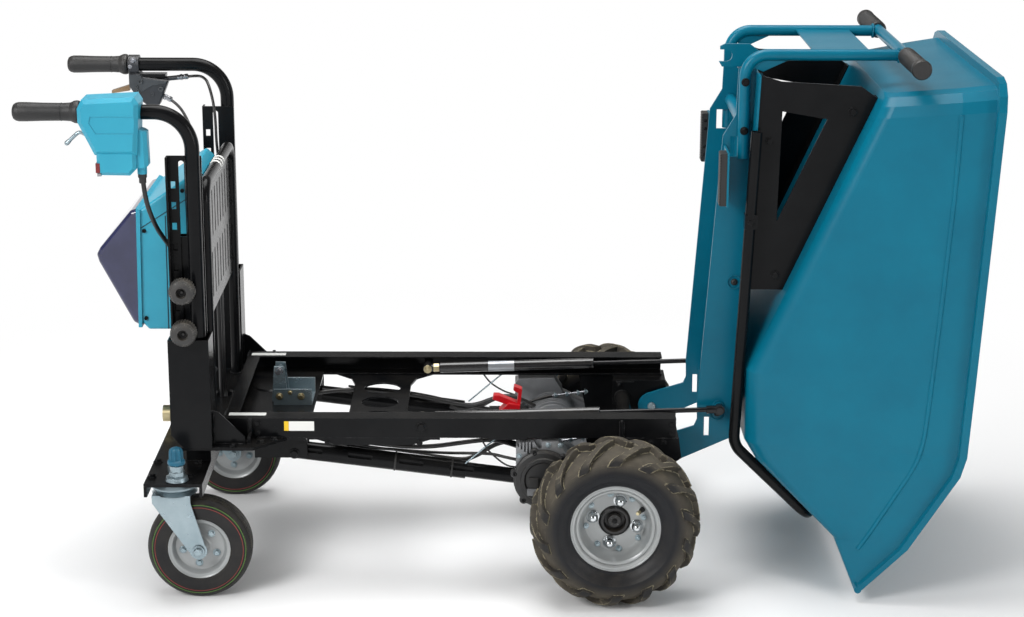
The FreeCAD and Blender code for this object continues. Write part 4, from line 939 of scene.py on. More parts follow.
def drive_rims():
    """Pressed rim with a rolled lip and a dished disc, its bolts, and the hub cap in the disc's middle."""
    lip = [(0.0310, -0.0080), (0.0310, -0.0026), (0.0480, -0.0010), (0.0590, 0.0022), (0.0640, 0.0075),
           (0.0668, 0.0150), (0.0690, 0.0290), (0.0698, 0.0352), (0.0722, 0.0372), (0.0760, 0.0376),
           (0.0772, 0.0400), (0.0800, 0.0426), (0.0835, 0.0430), (0.0850, 0.0444), (0.0866, 0.0444),
           (0.0876, 0.0436), (0.0874, 0.0420), (0.0840, 0.0404), (0.0810, 0.0398), (0.0765, 0.0385),
           (0.0760, 0.0380), (0.0760, -0.0385), (0.0872, -0.0432), (0.0872, -0.0444), (0.0735, -0.0400),
           (0.0640, -0.0060)]
    for label, side in SIDES:
        place = Matrix.Translation(sided(DRIVE_AXLE, side))
        turn = place @ facing_out(side)
        body = f"drive_wheel_{label}"
        turned_piece(f"drive_rim_disc_{label}", body, "rim_paint", lip, turn, f"drive_rim_{label}", steps=96,
                     degrees=28)
        cap = [(0, -0.0125), (0.0135, -0.0125), (0.0150, -0.0115), (0.0165, -0.0115), (0.0172, -0.0120),
               (0.0195, -0.0120), (0.0205, -0.0010), (0.0220, 0.0016), (0.0262, 0.0016), (0.0305, -0.0018),
               (0.0305, -0.0195), (0, -0.0195)]
        turned_piece(f"hub_cap_{label}", body, "hub_black", cap, turn, steps=64)
        plate = [(0, -0.0029), (0.0130, -0.0029), (0.0130, -0.0012), (0.0120, 0.0), (0, 0.0)]
        turned_piece(f"hub_plate_{label}", body, "hub_black", plate, turn, steps=40)
        out = (0, side, 0)
        nuts = [(on_disc(turn, 0.0440, -13 + 90 * i, -0.0015), out, 10.6) for i in range(4)]
        fasten(f"wheel_nuts_{label}", body, "dome", "chrome", nuts)
        ring = [(on_disc(turn, 0.0570, 9 + 45 * i, 0.0012), out, 4.8) for i in range(8)]
        fasten(f"disc_bolts_{label}", body, "nut", "zinc", ring)
        small = [(on_disc(turn, 0.0092, 60 * i + 15, -0.0002), out, 1.4) for i in range(6)]
        fasten(f"hub_screws_{label}", body, "socket", "cast_alloy_dark", small)
        fasten(f"hub_nut_{label}", body, "bolt", "black_paint", [(on_disc(turn, 0, 0, -0.0002), out, 4.0)])
        valve_stem(label, turn, body)


def valve_stem(label, turn, body):
    """Leaning rubber stem in the disc, with a brass cap."""
    angle, radius = math.radians(26), 0.0600
    foot = turn @ Matrix.Translation((radius * math.cos(angle), radius * math.sin(angle), 0.004))
    place = foot @ Matrix.Rotation(math.radians(-24), 4, "Y")
    stem = [(0, 0), (0.0055, 0), (0.0052, 0.006), (0.0038, 0.012), (0.0036, 0.020), (0, 0.020)]
    turned_piece(f"valve_stem_{label}", body, "rubber", stem, place, steps=18, degrees=40)
    cap = [(0, 0.019), (0.0038, 0.019), (0.0040, 0.022), (0.0040, 0.028), (0.0032, 0.0295), (0, 0.0295)]
    turned_piece(f"valve_cap_{label}", body, "brass", cap, place, steps=14, degrees=40)


# ---- casters --------------------------------------------------------------
def caster_outline():
    """Half section of the ribbed caster tyre, from the crown to the bead."""
    crown = [(0.1020, 0.0)]
    for edge in (0.0032, 0.0086, 0.0140):
        fall = edge * 0.06
        crown += [(0.1020 - fall, edge - 0.0006), (0.0996 - fall, edge), (0.0996 - fall, edge + 0.0014),
                  (0.1018 - fall, edge + 0.0020)]
    return crown + [(0.0985, 0.0190), (0.0962, 0.0222), (0.0930, 0.0246), (0.0922, 0.0240), (0.0905, 0.0256),
                    (0.0860, 0.0266), (0.0790, 0.0268), (0.0720, 0.0258), (0.0670, 0.0246), (0.0640, 0.0248),
                    (0.0618, 0.0240), (0.0608, 0.0215), (0.0585, 0.0205)]


def caster_tyres():
    half = caster_outline()
    outline = [(r, -d) for r, d in reversed(half)] + half[1:]
    for label, side in SIDES:
        place = Matrix.Translation(sided(CASTER_AXLE, side)) @ TO_Y
        body = f"caster_wheel_{label}"
        mesh = new_mesh("tyre", *spun(outline, 96), place)
        attribute(mesh, "soil", [0.12] * len(mesh.vertices))
        keep(f"caster_tread_{label}", mesh, body, "tyre", 32, f"caster_tyre_{label}")
        for name, radius, out in (("green", 0.0908, 0.0256), ("red", 0.0860, 0.0268)):
            for face in (1, -1):
                line = [(radius - 0.0007, face * (out - 0.0006)), (radius - 0.0006, face * (out + 0.00025)),
                        (radius + 0.0006, face * (out + 0.0002)), (radius + 0.0007, face * (out - 0.0006))]
                tag = "outer" if face * side > 0 else "inner"
                turned_piece(f"caster_{name}_line_{tag}_{label}", body, f"line_{name}", line, place,
                             steps=96, degrees=60)


def caster_rims():
    """Rim halves bolted together, with a bolt circle and the bearing's hub."""
    dish = [(0.0080, 0.0265), (0.0160, 0.0265), (0.0165, 0.0235), (0.0185, 0.0100), (0.0230, 0.0070),
            (0.0420, 0.0070), (0.0475, 0.0090), (0.0500, 0.0130), (0.0515, 0.0185), (0.0540, 0.0210),
            (0.0570, 0.0216), (0.0598, 0.0236), (0.0610, 0.0242), (0.0602, 0.0226), (0.0582, 0.0200)]
    outline = dish + [(r, -d) for r, d in reversed(dish)]
    bolts, radius, depth = 5, 0.0345, 0.0068
    for label, side in SIDES:
        place = Matrix.Translation(sided(CASTER_AXLE, side)) @ TO_Y
        body = f"caster_wheel_{label}"
        turned_piece(f"caster_rim_disc_{label}", body, "rim_paint", outline, place, f"caster_rim_{label}",
                     steps=72)
        places = []
        for i in range(bolts):
            angle = TURN * i / bolts + 0.4
            for face in (1, -1):
                local = Vector((radius * math.cos(angle), radius * math.sin(angle), face * depth))
                places.append((place @ local, (0, face, 0), 5.6))
        fasten(f"rim_bolts_{label}", body, "bolt", "zinc", places)


def caster_fork_trim():
    """Bolt heads on both ends of each caster's axle."""
    inset = 0.0072
    for label, side in SIDES:
        low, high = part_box(f"caster_fork_{label}")
        axle = sided(CASTER_AXLE, side)
        half = (high.y - low.y) / 2 - inset
        middle = (high.y + low.y) / 2
        places = [(Vector((axle.x, middle + face * half, axle.z)), (0, face, 0), 9.0) for face in (1, -1)]
        fasten(f"axle_bolts_{label}", f"caster_fork_{label}", "bolt", "zinc", places)


# ---- clamp knobs ----------------------------------------------------------
def clamp_knob_set():
    """Ribbed hand knobs with a domed face and a socket screw in the middle."""
    low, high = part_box("clamp_knobs")
    radius = 0.0255
    back = high.y - 0.0260
    head = [(0, 0), (radius * 0.80, 0), (radius * 0.93, 0.002), (radius * 0.93, 0.0190),
            (radius * 0.86, 0.0222), (radius * 0.70, 0.0246), (radius * 0.52, 0.0258),
            (radius * 0.40, 0.0260), (radius * 0.38, 0.0150), (0, 0.0180)]
    rib = [(x, y, z) for z, x in ((0.0010, radius * 0.985), (0.0170, radius * 0.985), (0.0220, radius * 0.90),
                                  (0.0240, radius * 0.76)) for y in (-0.00135, 0.00135)]
    rib += [(x - 0.004, y, z) for x, y, z in rib]
    count = 4
    faces = []
    for i in range(count - 1):
        a = 2 * i
        faces += [(a, a + 1, a + 3, a + 2), (a + 8, a + 10, a + 11, a + 9), (a, a + 2, a + 10, a + 8),
                  (a + 1, a + 9, a + 11, a + 3)]
    faces += [(0, 8, 9, 1), (6, 7, 15, 14)]
    middle = (low.x + high.x) / 2
    levels = (low.z + radius + 0.0005, high.z - radius - 0.0005)
    for side_name, side in SIDES:
        turn = facing_out(side)
        piece = template(f"knob_rib_{side_name}", (rib, faces), turn)
        for i, (level_name, level) in enumerate(zip(("lower", "upper"), levels)):
            centre = Vector((middle, side * back, level))
            base = new_mesh("knob", *spun(head, 64), Matrix.Translation(centre) @ turn)
            mesh = grow(RING, base, "knob_plastic", Piece=piece, Count=30, Phase=0.1 * i, Centre=centre)
            head_end, tail = (centre + Vector((0, side * reach, 0)) for reach in (0.001, -0.028))
            bolt = rod_shape(head_end, tail, 0.0040)
            replaced = ["clamp_knobs"] if i == 0 and side > 0 else []
            keep(f"knob_{level_name}_{side_name}", mesh, "chassis", "knob_plastic", 30, *replaced)
            keep(f"knob_bolt_{level_name}_{side_name}", new_mesh("bolt", *bolt), "chassis", "zinc")
        screws = [(Vector((middle, side * (back + 0.0148), level)), (0, side, 0), 5.0) for level in levels]
        fasten(f"knob_screws_{side_name}", "chassis", "socket", "black_paint", screws)


# ---- cables ---------------------------------------------------------------
def cables():
    """Cables from the handles, through the slit and the deck's hole, and on to the motors under the rails."""
    left = [(-879.6, 275, 931.1), (-861, 275, 933), (-845, 248, 935), (-829, 211, 930), (-813, 184, 876),
            (-812, 177, 790), (-798, 172, 725), (-798, 146, 660), (-798, 98, 600), (-798, 65, 540),
            (-798, 62, 470), (-798, 62.5, 350), (-798, 62, 285), (-790, 68, 268), (-740, 118, 268),
            (-640, 142, 270), (-536, 168, 282), (-427, 176, 270), (-350, 172, 256), (-300, 160, 244),
            (-257, 150, 239), (-211, 149, 238), (-172, 150, 250), (-139, 150, 264), (-113, 150, 269)]
    right = [(-933.1, 275, 889.4), (-905, 272, 878), (-874, 238, 838), (-850, 197, 775), (-832, 181, 700),
             (-800, 172, 640), (-798, 136, 588), (-798, 92, 548), (-798, 78, 500), (-798, 78.5, 400),
             (-798, 78, 285), (-786, 66, 264), (-740, 10, 262), (-690, -70, 262), (-640, -142, 264),
             (-536, -158, 262), (-427, -158, 254), (-340, -160, 248), (-285, -170, 251), (-240, -192, 258),
             (-215, -206, 256), (-188, -212, 252)]
    control = [(-891, -287.7, 842.7), (-890, -284, 800), (-879, -262, 745), (-866, -220, 700),
               (-842, -186, 655), (-801, -170, 618), (-801, -122, 588), (-801, -60, 570), (-801, 4, 560),
               (-801, 44, 530), (-801, 46, 460), (-801, 46.5, 380), (-801, 46, 285), (-790, 36, 270),
               (-740, -20, 272), (-640, -130, 275), (-536, -172, 281), (-427, -180, 269), (-363, -180, 267),
               (-285, -178, 278), (-239, -168, 280), (-200, -156, 266), (-165, -150, 250),
               (-150, -150, 243)]
    for name, points, radius, handle, top in (("brake_cable_left", left, 3.0, "handle_left", 0.90),
                                              ("brake_cable_right", right, 3.0, "handle_left", 0.87),
                                              ("control_cable", control, 4.5, "handle_right", 0.84)):
        piece = tube(f"{name}_sheath", None, "sheath", points, radius)
        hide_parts(name)
        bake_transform(piece)


def motor_leads():
    """Leads and rods that run beside the brace tubes and up to each motor."""
    runs = {
        "thick": ("sheath", 4.5, [(-330, 166, 240), (-300, 160, 232), (-270, 156, 240), (-240, 152, 260),
                                  (-211, 150, 270), (-185, 150, 264), (-160, 148, 250), (-146, 148, 240)]),
        "thin_lead": ("sheath", 1.8, [(-262, 214, 302), (-250, 222, 280), (-235, 228, 266), (-214, 236, 251),
                                      (-199, 237, 246), (-189, 232, 244)]),
        "rod": ("zinc", 1.6, [(-291, 200, 240), (-256, 200, 271), (-220, 200, 301)]),
        "strip": ("sheath", 2.4, [(-548, 185, 279), (-430, 185, 263), (-299, 185, 244)]),
    }
    for label, side in SIDES:
        for name, (finish_name, radius, points) in runs.items():
            tube(f"motor_{name}_{label}", "chassis", finish_name, [(x, y * side, z) for x, y, z in points],
                 radius, 10)
        clips = [turned_ring(-318, 185 * side, 225.5, (0.992, 0, -0.125), 18.4, 4),
                 turned_ring(-430, 185 * side, 239.6, (0.992, 0, -0.125), 18.4, 4)]
        plates(f"lead_clips_{label}", "chassis", "rubber", *clips)
    bundle = [(-770, 36, 271), (-700, 100, 272), (-640, 134, 276), (-536, 158, 282), (-427, 160, 270),
              (-363, 160, 258), (-300, 154, 246), (-270, 150, 250), (-240, 146, 264), (-211, 142, 272),
              (-180, 140, 266), (-150, 140, 250), (-140, 140, 242)]
    tube("motor_lead_left", "chassis", "sheath", bundle, 4.2, 12)


# ---- drive units ----------------------------------------------------------
def gear_cover_trim():
    """Ears and screws round each gear cover, the cast head's screws and blocks, and the brake link."""
    ear = [(0, 0), (0.0085, 0), (0.0085, 0.0075), (0.0075, 0.0090), (0.0, 0.0090)]
    reach = 0.0575
    for label, side in SIDES:
        out = (0, side, 0)
        middle = at(-137, 234.5 * side, 222)
        turn = facing_out(side)
        place = Matrix.Translation((reach, 0, 0)) @ turn
        piece = template(f"ear_{label}", new_mesh("ear", *spun(ear, 20), place))
        mesh = grow(RING, None, "black_plastic", Piece=piece, Count=6, Phase=math.radians(-108),
                    Centre=middle)
        keep(f"gear_cover_ears_{label}", mesh, "chassis", "black_plastic", 35)
        places = []
        for i in range(6):
            angle = math.radians(108 + 60 * i)
            spot = middle + Vector((reach * math.cos(angle), side * 0.0088, reach * math.sin(angle)))
            places.append((spot, out, 4.2))
        fasten(f"gear_cover_screws_{label}", "chassis", "socket", "black_paint", places)
        screws = [(x, 234 * side, z, 4.0) for x, z in ((-185, 268), (-128, 290), (-104, 289))]
        fasten(f"gear_head_screws_{label}", "chassis", "bolt", "zinc", heads(out, *screws))
        fasten(f"brace_nut_{label}", "chassis", "nut", "zinc", heads(out, (-184, 204.7 * side, 193, 5.0)))
        low, high = sorted((246 * side, 251.5 * side))
        plates(f"gear_cover_block_{label}", "chassis", "cast_alloy", block(-169, -151, low, high, 191, 205))
        plates(f"gear_cover_plug_{label}", "chassis", "rubber", block(-165, -147, low, high, 206, 227))
        link = [(-113, 150 * side, 269), (-80, 150 * side, 273), (-40, 150 * side, 279)]
        tube(f"brake_link_{label}", "chassis", "steel", link, 2.2, 10)
        spots = ((-108, 269.6, 5.0), (-84, 272.5, 5.0), (-60, 275.8, 4.6), (-44, 278.2, 4.6))
        nuts = heads(AHEAD, *[(x, 150 * side, z, size) for x, z, size in spots])
        fasten(f"brake_link_nuts_{label}", "chassis", "nut", "zinc", nuts)


# ---- chassis --------------------------------------------------------------
def chassis_bolts():
    """Bolts of the rails, the caster plates, the foot plates and the brackets, the same on both sides."""
    up = ((-893, 234, 254, 7), (-813, 238, 254, 7), (-892, 321, 254, 7), (-818, 318, 254, 7),
          (-688, 258, 303, 7), (-664, 240, 303, 6), (-740, 279, 303, 6), (-825, 100, 303, 6))
    out = ((-377, 229, 325, 8), (113, 229, 331, 4.5), (113, 229, 312, 4.5), (-697, 229, 333, 5.5),
           (-697, 229, 313, 5.5), (-628, 210, 264, 8), (26, 229, 294, 5), (74, 229, 294, 5),
           (98, 229, 294, 5), (-560, 229, 293, 4.5), (-380, 229, 293, 4.5))
    inner = heads(NEAR, (30, 225.8, 320, 5.0), (81, 225.8, 320, 5.0), (30, 153, 294, 4.5))
    for name, kind, finish_name, places in (
            ("chassis_bolts", "bolt", "black_paint", heads(UP, *up) + heads(FAR, *out)),
            ("bracket_nuts", "nut", "black_paint", inner),
            ("strut_pin_nuts", "nut", "brass", heads(NEAR, (-377, 158, 325, 6.5))),
            ("hinge_pin_nuts", "nut", "zinc", heads(FAR, (98, 168, 250, 7.0))),
            ("rib_caps", "button", "black_paint", heads(UP, (16, 231.5, 338.5, 4.2)))):
        fasten(name, "chassis", kind, finish_name, on_both_sides(places))


def seams_of(rows, side):
    """Straight seams from rows of both ends' coordinates, drawn for the left side."""
    return [[(x0, y0 * side, z0), (x1, y1 * side, z1)] for x0, y0, z0, x1, y1, z1 in rows]


def chassis_welds():
    """Welds of the posts, rails, guard's feet, risers and front frame, the same on both sides."""
    before = ((-776.5, 232, 304, -776.5, 262, 304), (-772, 270, 304, -722, 270, 304),
              (-776.5, 270, 306, -776.5, 270, 364), (-714.5, 231, 305, -714.5, 231, 340),
              (-714.5, 240, 304, -714.5, 262, 304), (-760, 230, 304, -722, 230, 304),
              (-700, 230, 304, -645, 230, 304), (12, 230.5, 304, 12, 230.5, 336),
              (20, 230.5, 304, 20, 230.5, 336), (24, 229.5, 303, 60, 229.5, 303),
              (84, 229.5, 303, 120, 229.5, 303), (24, 152, 299, 60, 152, 299),
              (-838.5, 166, 255, -838.5, 224, 255))
    after = ((-762, 190, 344, -762, 228, 344), (-849, 229.5, 521, -788, 229.5, 521))
    lines = []
    for _, side in SIDES:
        lines += seams_of(before, side) + [circle(-789, 203 * side, 304.5, 11.5, UP)] + seams_of(after, side)
        lines += [circle(36, 152 * side, 265, 15.5, FAR), circle(98, 152 * side, 250, 18.5, FAR)]
    beads("chassis_welds", "chassis", "black_paint", lines)


def blank_plates():
    """Bare stickers on the near rail's side and on top of both rails."""
    near, ahead, up = -0.2290, Vector((1, 0, 0)), Vector((0, 0, 1))
    height, corner, thickness = 0.0195, 0.001, 0.0003
    x0, x1, z = at(-645, 0, 0).x, at(-586, 0, 0).x, 0.327
    split = x0 + (x1 - x0) * 0.16
    gap = 0.0004
    for tone, start, end, width in (("white", split, x1, x1 - split),
                                    ("yellow", x0, split, split - x0 - gap)):
        centre = Vector(((start + end) / 2, near, z))
        plates(f"rail_plate_{tone}", "chassis", f"label_{tone}",
               rounded_plate(centre, ahead, up, width, height, corner, thickness))
    tops = [rounded_plate(at(-718.5, y, 343), ahead, FAR, 0.073, 0.017, corner, thickness)
            for y in (-203, 207)]
    plates("rail_top_plates", "chassis", "label_white", *tops)


def strut_trim():
    """Seal at the mouth of each strut, the fitting at its foot, and the bare label on one of them."""
    foot = at(-377, 168, 325)
    axis = (at(212, 168, 343) - foot).normalized()
    seal = [(0.0052, 0.0), (0.0109, 0.0), (0.0112, 0.0010), (0.0112, 0.0030), (0.0100, 0.0042),
            (0.0052, 0.0042)]
    fitting = [(0.0, 0.0), (0.0082, 0.0), (0.0090, 0.0012), (0.0090, 0.0120), (0.0082, 0.0130), (0.0, 0.0130)]
    wrap = [(0.01085, -0.0275), (0.01125, -0.0275), (0.01125, 0.0275), (0.01085, 0.0275)]
    for label, side in SIDES:
        body = f"strut_cylinder_{label}"
        turn = axis.to_track_quat("Z", "Y").to_matrix().to_4x4()
        points = [sided(foot + axis * distance, side) for distance in (0.3480, 0.0115, 0.156)]
        seal_place, fitting_place, label_place = [Matrix.Translation(point) @ turn for point in points]
        turned_piece(f"strut_seal_{label}", body, "strut_black", seal, seal_place, steps=40)
        turned_piece(f"strut_fitting_{label}", body, "brass", fitting, fitting_place, steps=6,
                     degrees=20)
        if side > 0:
            turned_piece("strut_plate", body, "label_silver", wrap, label_place, steps=40)


def guard_trim():
    """Bands round the guard's top tube, and the welds between its sheet and the tube."""
    bands = [turned_ring(-789, y, 802, (0.0, 0.97, 0.24), 11.3, 9.0) for y in (-24, 0, 24)]
    plates("guard_bands", "chassis", "label_white", *bands)
    seams = [[(-786, side * 193.5, 556 + 60 * i), (-786, side * 193.5, 572 + 60 * i)]
             for i in range(4) for _, side in SIDES]
    beads("guard_welds", "chassis", "black_paint", seams)


def striker_trim():
    """Bolts of the striker's foot and walls, and the heads of its pin."""
    feet = heads(UP, *[(x, y, 312.2, 6.0) for x in (-648, -618) for y in (-29, 29)])
    fasten("striker_feet", "chassis", "bolt", "zinc", feet)
    sides = heads(FAR, (-672, 42, 328, 5.5), (-628, 42, 328, 5.5), (-650, 42, 336, 3.6))
    fasten("striker_side_bolts", "chassis", "bolt", "brass", on_both_sides(sides))
    ends = heads(FAR, (-674, 18, 374, 6.5))
    fasten("striker_pin_ends", "chassis", "bolt", "steel", on_both_sides(ends))


def lock_knob_set():
    """Ribbed pull knobs of the swivel locks, each over a zinc flange nut."""
    low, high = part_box("lock_knobs")
    middle = (low.x + high.x) / 2
    steps, ribs, widest = 64, 8, 0.017
    for label, side in SIDES:
        centre = Vector((middle, side * (high.y - widest), low.z))
        rings = []
        for height, radius, depth in ((0.0020, 0.0160, 0.0), (0.0040, 0.0170, 0.0), (0.0090, 0.0166, 0.0),
                                      (0.0110, 0.0140, 0.0004), (0.0120, 0.0116, 0.0026),
                                      (0.0270, 0.0108, 0.0028), (0.0320, 0.0098, 0.0022),
                                      (0.0345, 0.0080, 0.0008), (0.0350, 0.0050, 0.0)):
            ring = []
            for i in range(steps):
                angle = TURN * i / steps
                wave = max(0.0, math.cos(ribs * angle)) ** 0.5
                r = radius + depth * wave
                ring.append(centre + Vector((r * math.cos(angle), r * math.sin(angle), height)))
            rings.append(ring)
        replaced = ["lock_knobs"] if side > 0 else []
        keep(f"lock_knob_{label}", new_mesh("knob", *lofted(rings)), "chassis", "knob_teal", 30, *replaced)
        post = Matrix.Translation((centre.x, centre.y, 0))
        flange = [(0.0, 0.2543), (0.0215, 0.2543), (0.0222, 0.2554), (0.0212, 0.2580), (0.0205, 0.2623),
                  (0.0150, 0.2650), (0.0, 0.2650)]
        turned_piece(f"lock_flange_{label}", "chassis", "zinc", flange, post, steps=40)
        hexagon_top = [(0.0, 0.2636), (0.0158, 0.2636), (0.0158, 0.2725), (0.0142, 0.2745), (0.0, 0.2745)]
        turned_piece(f"lock_nut_{label}", "chassis", "zinc", hexagon_top, post, steps=6, degrees=20)


def caster_head_trim():
    """Ball race of each caster: the rolled cup over the fork's crown."""
    for label, _ in SIDES:
        low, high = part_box(f"caster_fork_{label}")
        middle = Vector((at(-854, 0, 0).x, (low.y + high.y) / 2, 0))
        cup = [(0.0300, 0.2255), (0.0440, 0.2255), (0.0452, 0.2268), (0.0452, 0.2310), (0.0430, 0.2350),
               (0.0425, 0.2440), (0.0300, 0.2440)]
        turned_piece(f"caster_cup_{label}", "chassis", "zinc", cup, Matrix.Translation(middle), steps=64)


# ---- battery --------------------------------------------------------------
def battery_trim():
    """Latch of the battery cover, and the seams and screws of the box."""
    latch = rounded_plate(at(-975.5, 0, 575), (0, -1, 0), Vector((-0.459, 0, 0.888)).normalized(), 0.070,
                          0.034, 0.006, 0.0045)
    plates("battery_latch", "chassis", "navy_cover", latch)
    seams = [plate_shape([(-928, y, 700), (-828, y, 764), (-828, y, 766.2), (-928, y, 702.2)], 0.35)
             for y in (-150.2, 150.2)]
    seams += [plate_shape([(-876, y, 502), (-873.8, y, 502), (-871.8, y, 730), (-874, y, 730)], 0.35)
              for y in (-150.2, 150.2)]
    plates("battery_seams", "chassis", "seam_dark", *seams)
    spots = ((-918, 524), (-915, 700), (-840, 520), (-838, 780), (-852, 640))
    screws = heads(FAR, *[(x, 150, z, 4.0) for x, z in spots])
    fasten("battery_screws", "chassis", "socket", "black_paint", on_both_sides(screws))


# ---- handles --------------------------------------------------------------
def control_box_trim():
    """Switch, screws and cable gland of the control box, and the end of its speed lever."""
    plates("switch", "handle_right", "switch_red", block(-972.4, -964.4, -317.5, -304, 850, 868))
    plates("switch_foot", "handle_right", "steel", block(-970, -963, -317.2, -306, 843.5, 849))
    spots = ((-982, 930), (-985, 975), (-908, 975), (-905, 900))
    screws = heads(FAR, *[(x, -253.7, z, 3.2) for x, z in spots])
    fasten("control_screws", "handle_right", "socket", "steel", screws)
    gland = [(0, -0.0010), (0.0062, -0.0010), (0.0068, 0.0), (0.0068, 0.0090), (0.0084, 0.0100),
             (0.0084, 0.0180), (0, 0.0180)]
    turned_piece("control_gland", "handle_right", "rubber", gland, upright(-891, -287.7, 826), steps=24)
    tip = [(0, -0.0046), (0.0026, -0.0042), (0.0044, -0.0020), (0.0048, 0.0), (0.0044, 0.0040),
           (0.0038, 0.0080), (0, 0.0080)]
    turned_piece("speed_lever_tip", "handle_right", "zinc", tip,
                 facing(-1034, -262, 895.6, (0.74, 0, 0.67)), steps=20)


def brake_trim():
    """Cheek, screws, adjusters, hood and clamp bolts of the brake lever's housing."""
    y = 259.8
    cheek = [(-1000, y, 937), (-979, y, 937), (-973, y, 929.5), (-922, y, 923), (-925, y, 919),
             (-953, y, 914), (-981, y, 898), (-989, y, 893), (-1000, y, 912)]
    plates("brake_cheek", "handle_left", "cast_alloy_dark", plate_shape(cheek, 1.1))
    screws = heads(NEAR, (-977, y - 1, 923, 4.6), (-985.3, y - 1, 912, 3.4), (-983, y - 1, 903.6, 3.4),
                   (-935, y + 0.4, 907, 5.4), (-953.2, y + 0.4, 896, 3.4))
    fasten("brake_screws", "handle_left", "socket", "cast_alloy_dark", screws)
    ferrule = [(0.0033, -0.002), (0.0052, -0.002), (0.0060, 0.0), (0.0060, 0.0050), (0.0052, 0.0058),
               (0.0052, 0.0098), (0.0064, 0.0106), (0.0064, 0.0150), (0.0052, 0.0162), (0.0052, 0.0212),
               (0.0033, 0.0212)]
    turned_piece("adjuster_upper", "handle_left", "steel", ferrule,
                 facing(-881, 275, 931.1, (-0.995, 0, -0.1)), steps=12)
    lower = facing(-917, 273.3, 882.4, (-0.91, 0.05, 0.40))
    turned_piece("adjuster_lower", "handle_left", "steel", ferrule, lower, steps=12)
    hood = block(-978, -925, 262, 288, 931, 938)
    plates("brake_hood", "handle_left", "black_paint", hood)
    fasten("clamp_bolts", "handle_left", "bolt", "steel",
           heads(NEAR, (-991, 256.5, 967, 5.0), (-997, 253.8, 955, 3.4)))


def handle_trim():
    """Seams of the grips and welds between the handle tubes and their plates."""
    for label, side in SIDES:
        body = f"handle_{label}"
        seams = [turned_ring(-1039, 273.7 * side, 957, AHEAD, 16.5, 0.8)]
        plates(f"grip_seam_{label}", body, "rubber", *seams)
        beads(f"handle_welds_{label}", body, "black_paint",
              [[(-788.5, 261.5 * side, z), (-788.5, 261.5 * side, z + 24)]
               for z in (540, 620, 700, 780, 834)])


# ---- bucket ---------------------------------------------------------------
def bucket_bolts():
    """Bolts of the dump handle, the support plates and the cradle, and the cross tubes' plugs."""
    places = heads(FAR, (244, 168, 997, 6), (244, 168, 903, 6), (445.5, 202, 946.4, 7), (308.5, 202, 627, 7),
                   (289, 202, 890, 6), (256, 232, 738, 5.5))
    fasten("bucket_bolts", "bucket", "bolt", "black_paint", on_both_sides(places))
    ends = heads(FAR, (248, 146, 908, 7.0), (236, 146, 598, 7.0), (210, 146, 328, 7.0))
    fasten("cross_tube_plugs", "bucket", "button", "rubber", on_both_sides(ends))


def bucket_welds():
    """Welds of the subframe's cross tubes and bosses, of its web along the side plates, and at the bar."""
    rings = ((248, 908, 13), (236, 598, 13), (210, 328, 13), (98, 250, 20), (212, 343, 10.5))
    length, end, end_x, slope = 50, 930, 262.6, 0.0391
    lines = []
    for _, side in SIDES:
        lines += [circle(x, 147 * side, z, radius, FAR) for x, z, radius in rings]
        for z in (820, 700, 560, 440, 380):
            lines.append([(end_x - (end - z) * slope, 147.5 * side, z),
                          (end_x - (end + length - z) * slope, 147.5 * side, z - length)])
    beads("subframe_welds", "bucket", "teal_paint", lines)
    bar = [circle(535, 157.3 * side, 1048, 12, AHEAD) for _, side in SIDES]
    beads("bar_welds", "bucket", "teal_paint", bar, 0.0030)


def side_creases():
    """Raised crease line along each side of the tub, below its rim, sunk a little into the wall."""
    radius, sink = 4.8, 0.9
    line = [(628.6, 321.0, 962), (624.9, 321.4, 841), (619.3, 321.4, 745), (606.4, 321.3, 532),
            (593.1, 321.0, 352), (588.4, 320.8, 318), (578.0, 320.2, 282), (558.6, 318.4, 246),
            (523.9, 312.6, 184), (490.6, 306.8, 124), (476.6, 303.2, 101)]
    for label, side in SIDES:
        tube(f"side_crease_{label}", "bucket", "teal_paint", [(x, (y - sink) * side, z) for x, y, z in line],
             radius)


def stop_pad_ribs():
    """Ribs across the rubber pads that the bucket rests on, and the pads' screws."""
    low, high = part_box("stop_pads")
    bar = [(-1.6, -17, -1.4), (0.6, -17, -1.9), (0.6, -17, 1.9), (-1.6, -17, 1.4)]
    ring = [Vector(p) / 1000 for p in bar]
    piece = template("pad_rib", new_mesh("rib", *lofted([ring, [p + Vector((0, 0.034, 0)) for p in ring]])))
    for label, side in SIDES:
        y = side * (high.y - 0.017)
        start, end = Vector((low.x, y, low.z + 0.003)), Vector((low.x, y, high.z - 0.003))
        mesh = grow(ROW, None, "rubber", Piece=piece, Start=start, End=end, Count=19)
        keep(f"stop_pad_ribs_{label}", mesh, "bucket", "rubber", 30)
    screws = heads(NEAR, *[(202, 192, z, 3.6) for z in (855, 838, 800, 783)])
    fasten("stop_pad_screws", "bucket", "button", "black_paint", on_both_sides(screws))


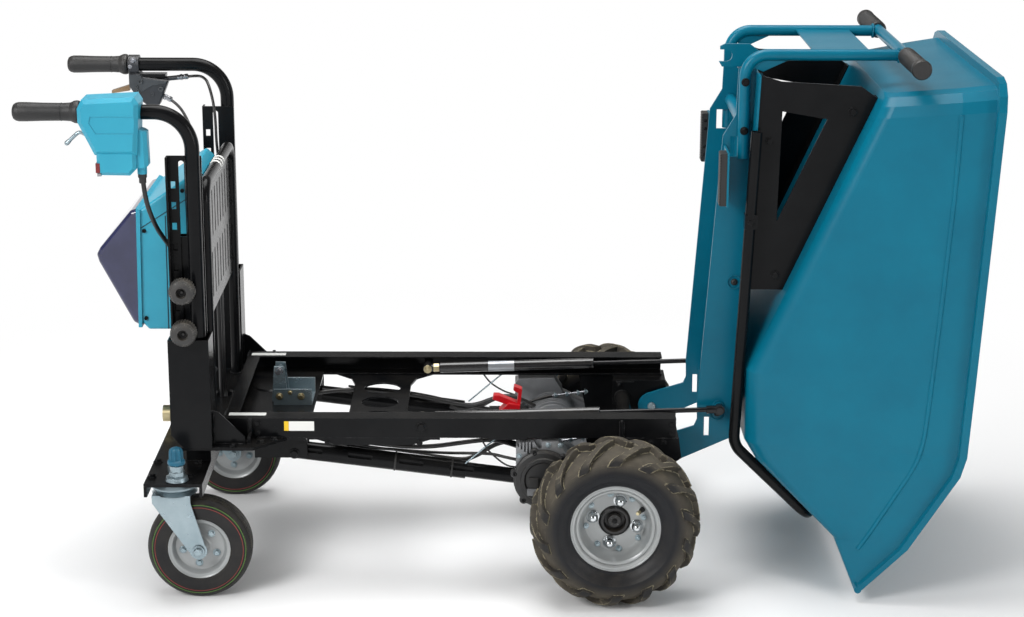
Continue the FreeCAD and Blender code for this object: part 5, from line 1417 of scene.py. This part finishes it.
def dump_grip_set():
    """Ribbed sleeves on the ends of the dump handle's bar."""
    low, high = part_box("dump_grips")
    x, z = (low.x + high.x) / 2, (low.z + high.z) / 2
    length = 0.167
    outline = [(0.0113, 0.0), (0.0150, 0.0), (0.0172, 0.0030), (0.0172, 0.0080)]
    for i in range(15):
        y = 0.014 + i * 0.009
        outline += [(0.0172, y), (0.0161, y + 0.0012), (0.0161, y + 0.0030), (0.0176, y + 0.0042)]
    outline += [(0.0176, length - 0.0130), (0.0185, length - 0.0100), (0.0185, length - 0.0030),
                (0.0165, length), (0.0, length), (0.0, length - 0.0040), (0.0113, length - 0.0040)]
    for label, side in SIDES:
        turn = facing_out(side)
        place = Matrix.Translation((x, side * (high.y - length), z)) @ turn
        replaced = ["dump_grips"] if side > 0 else []
        turned_piece(f"dump_grip_{label}", "bucket", "rubber", outline, place, *replaced, steps=48,
                     degrees=40)


def latch_trim():
    """Zinc pawl and its bolt beside the latch hook, and the black cover over its lever."""
    pawl = plate_shape([(246, 8, 1012), (262, 8, 1015), (264, 8, 1002), (256, 8, 992), (246, 8, 996)], 3)
    plates("latch_pawl", "bucket", "zinc", pawl)
    fasten("latch_bolt", "bucket", "bolt", "brass", heads(NEAR, (255, 4.6, 1004, 5.0)))
    lever = plate_shape([(266, -160, 992.6), (275.3, -160, 994.6), (298.7, -160, 977.2), (289.4, -160, 950.4),
                         (266, -160, 945.4)], 9.2)
    plates("lever_cover", "bucket", "black_plastic", lever)


# ---- every piece, in order -------------------------------------------------
PIECES = (drive_tyres, drive_rims, caster_tyres, caster_rims, caster_fork_trim, clamp_knob_set,
          lock_knob_set, caster_head_trim, cables, motor_leads, gear_cover_trim, chassis_bolts,
          chassis_welds, blank_plates, strut_trim, guard_trim, striker_trim, battery_trim,
          control_box_trim, brake_trim, handle_trim, bucket_bolts, bucket_welds, side_creases,
          stop_pad_ribs, dump_grip_set, latch_trim)
for make in PIECES:
    make()

for item in templates:
    bpy.data.objects.remove(item)
dress_cad_nodes()
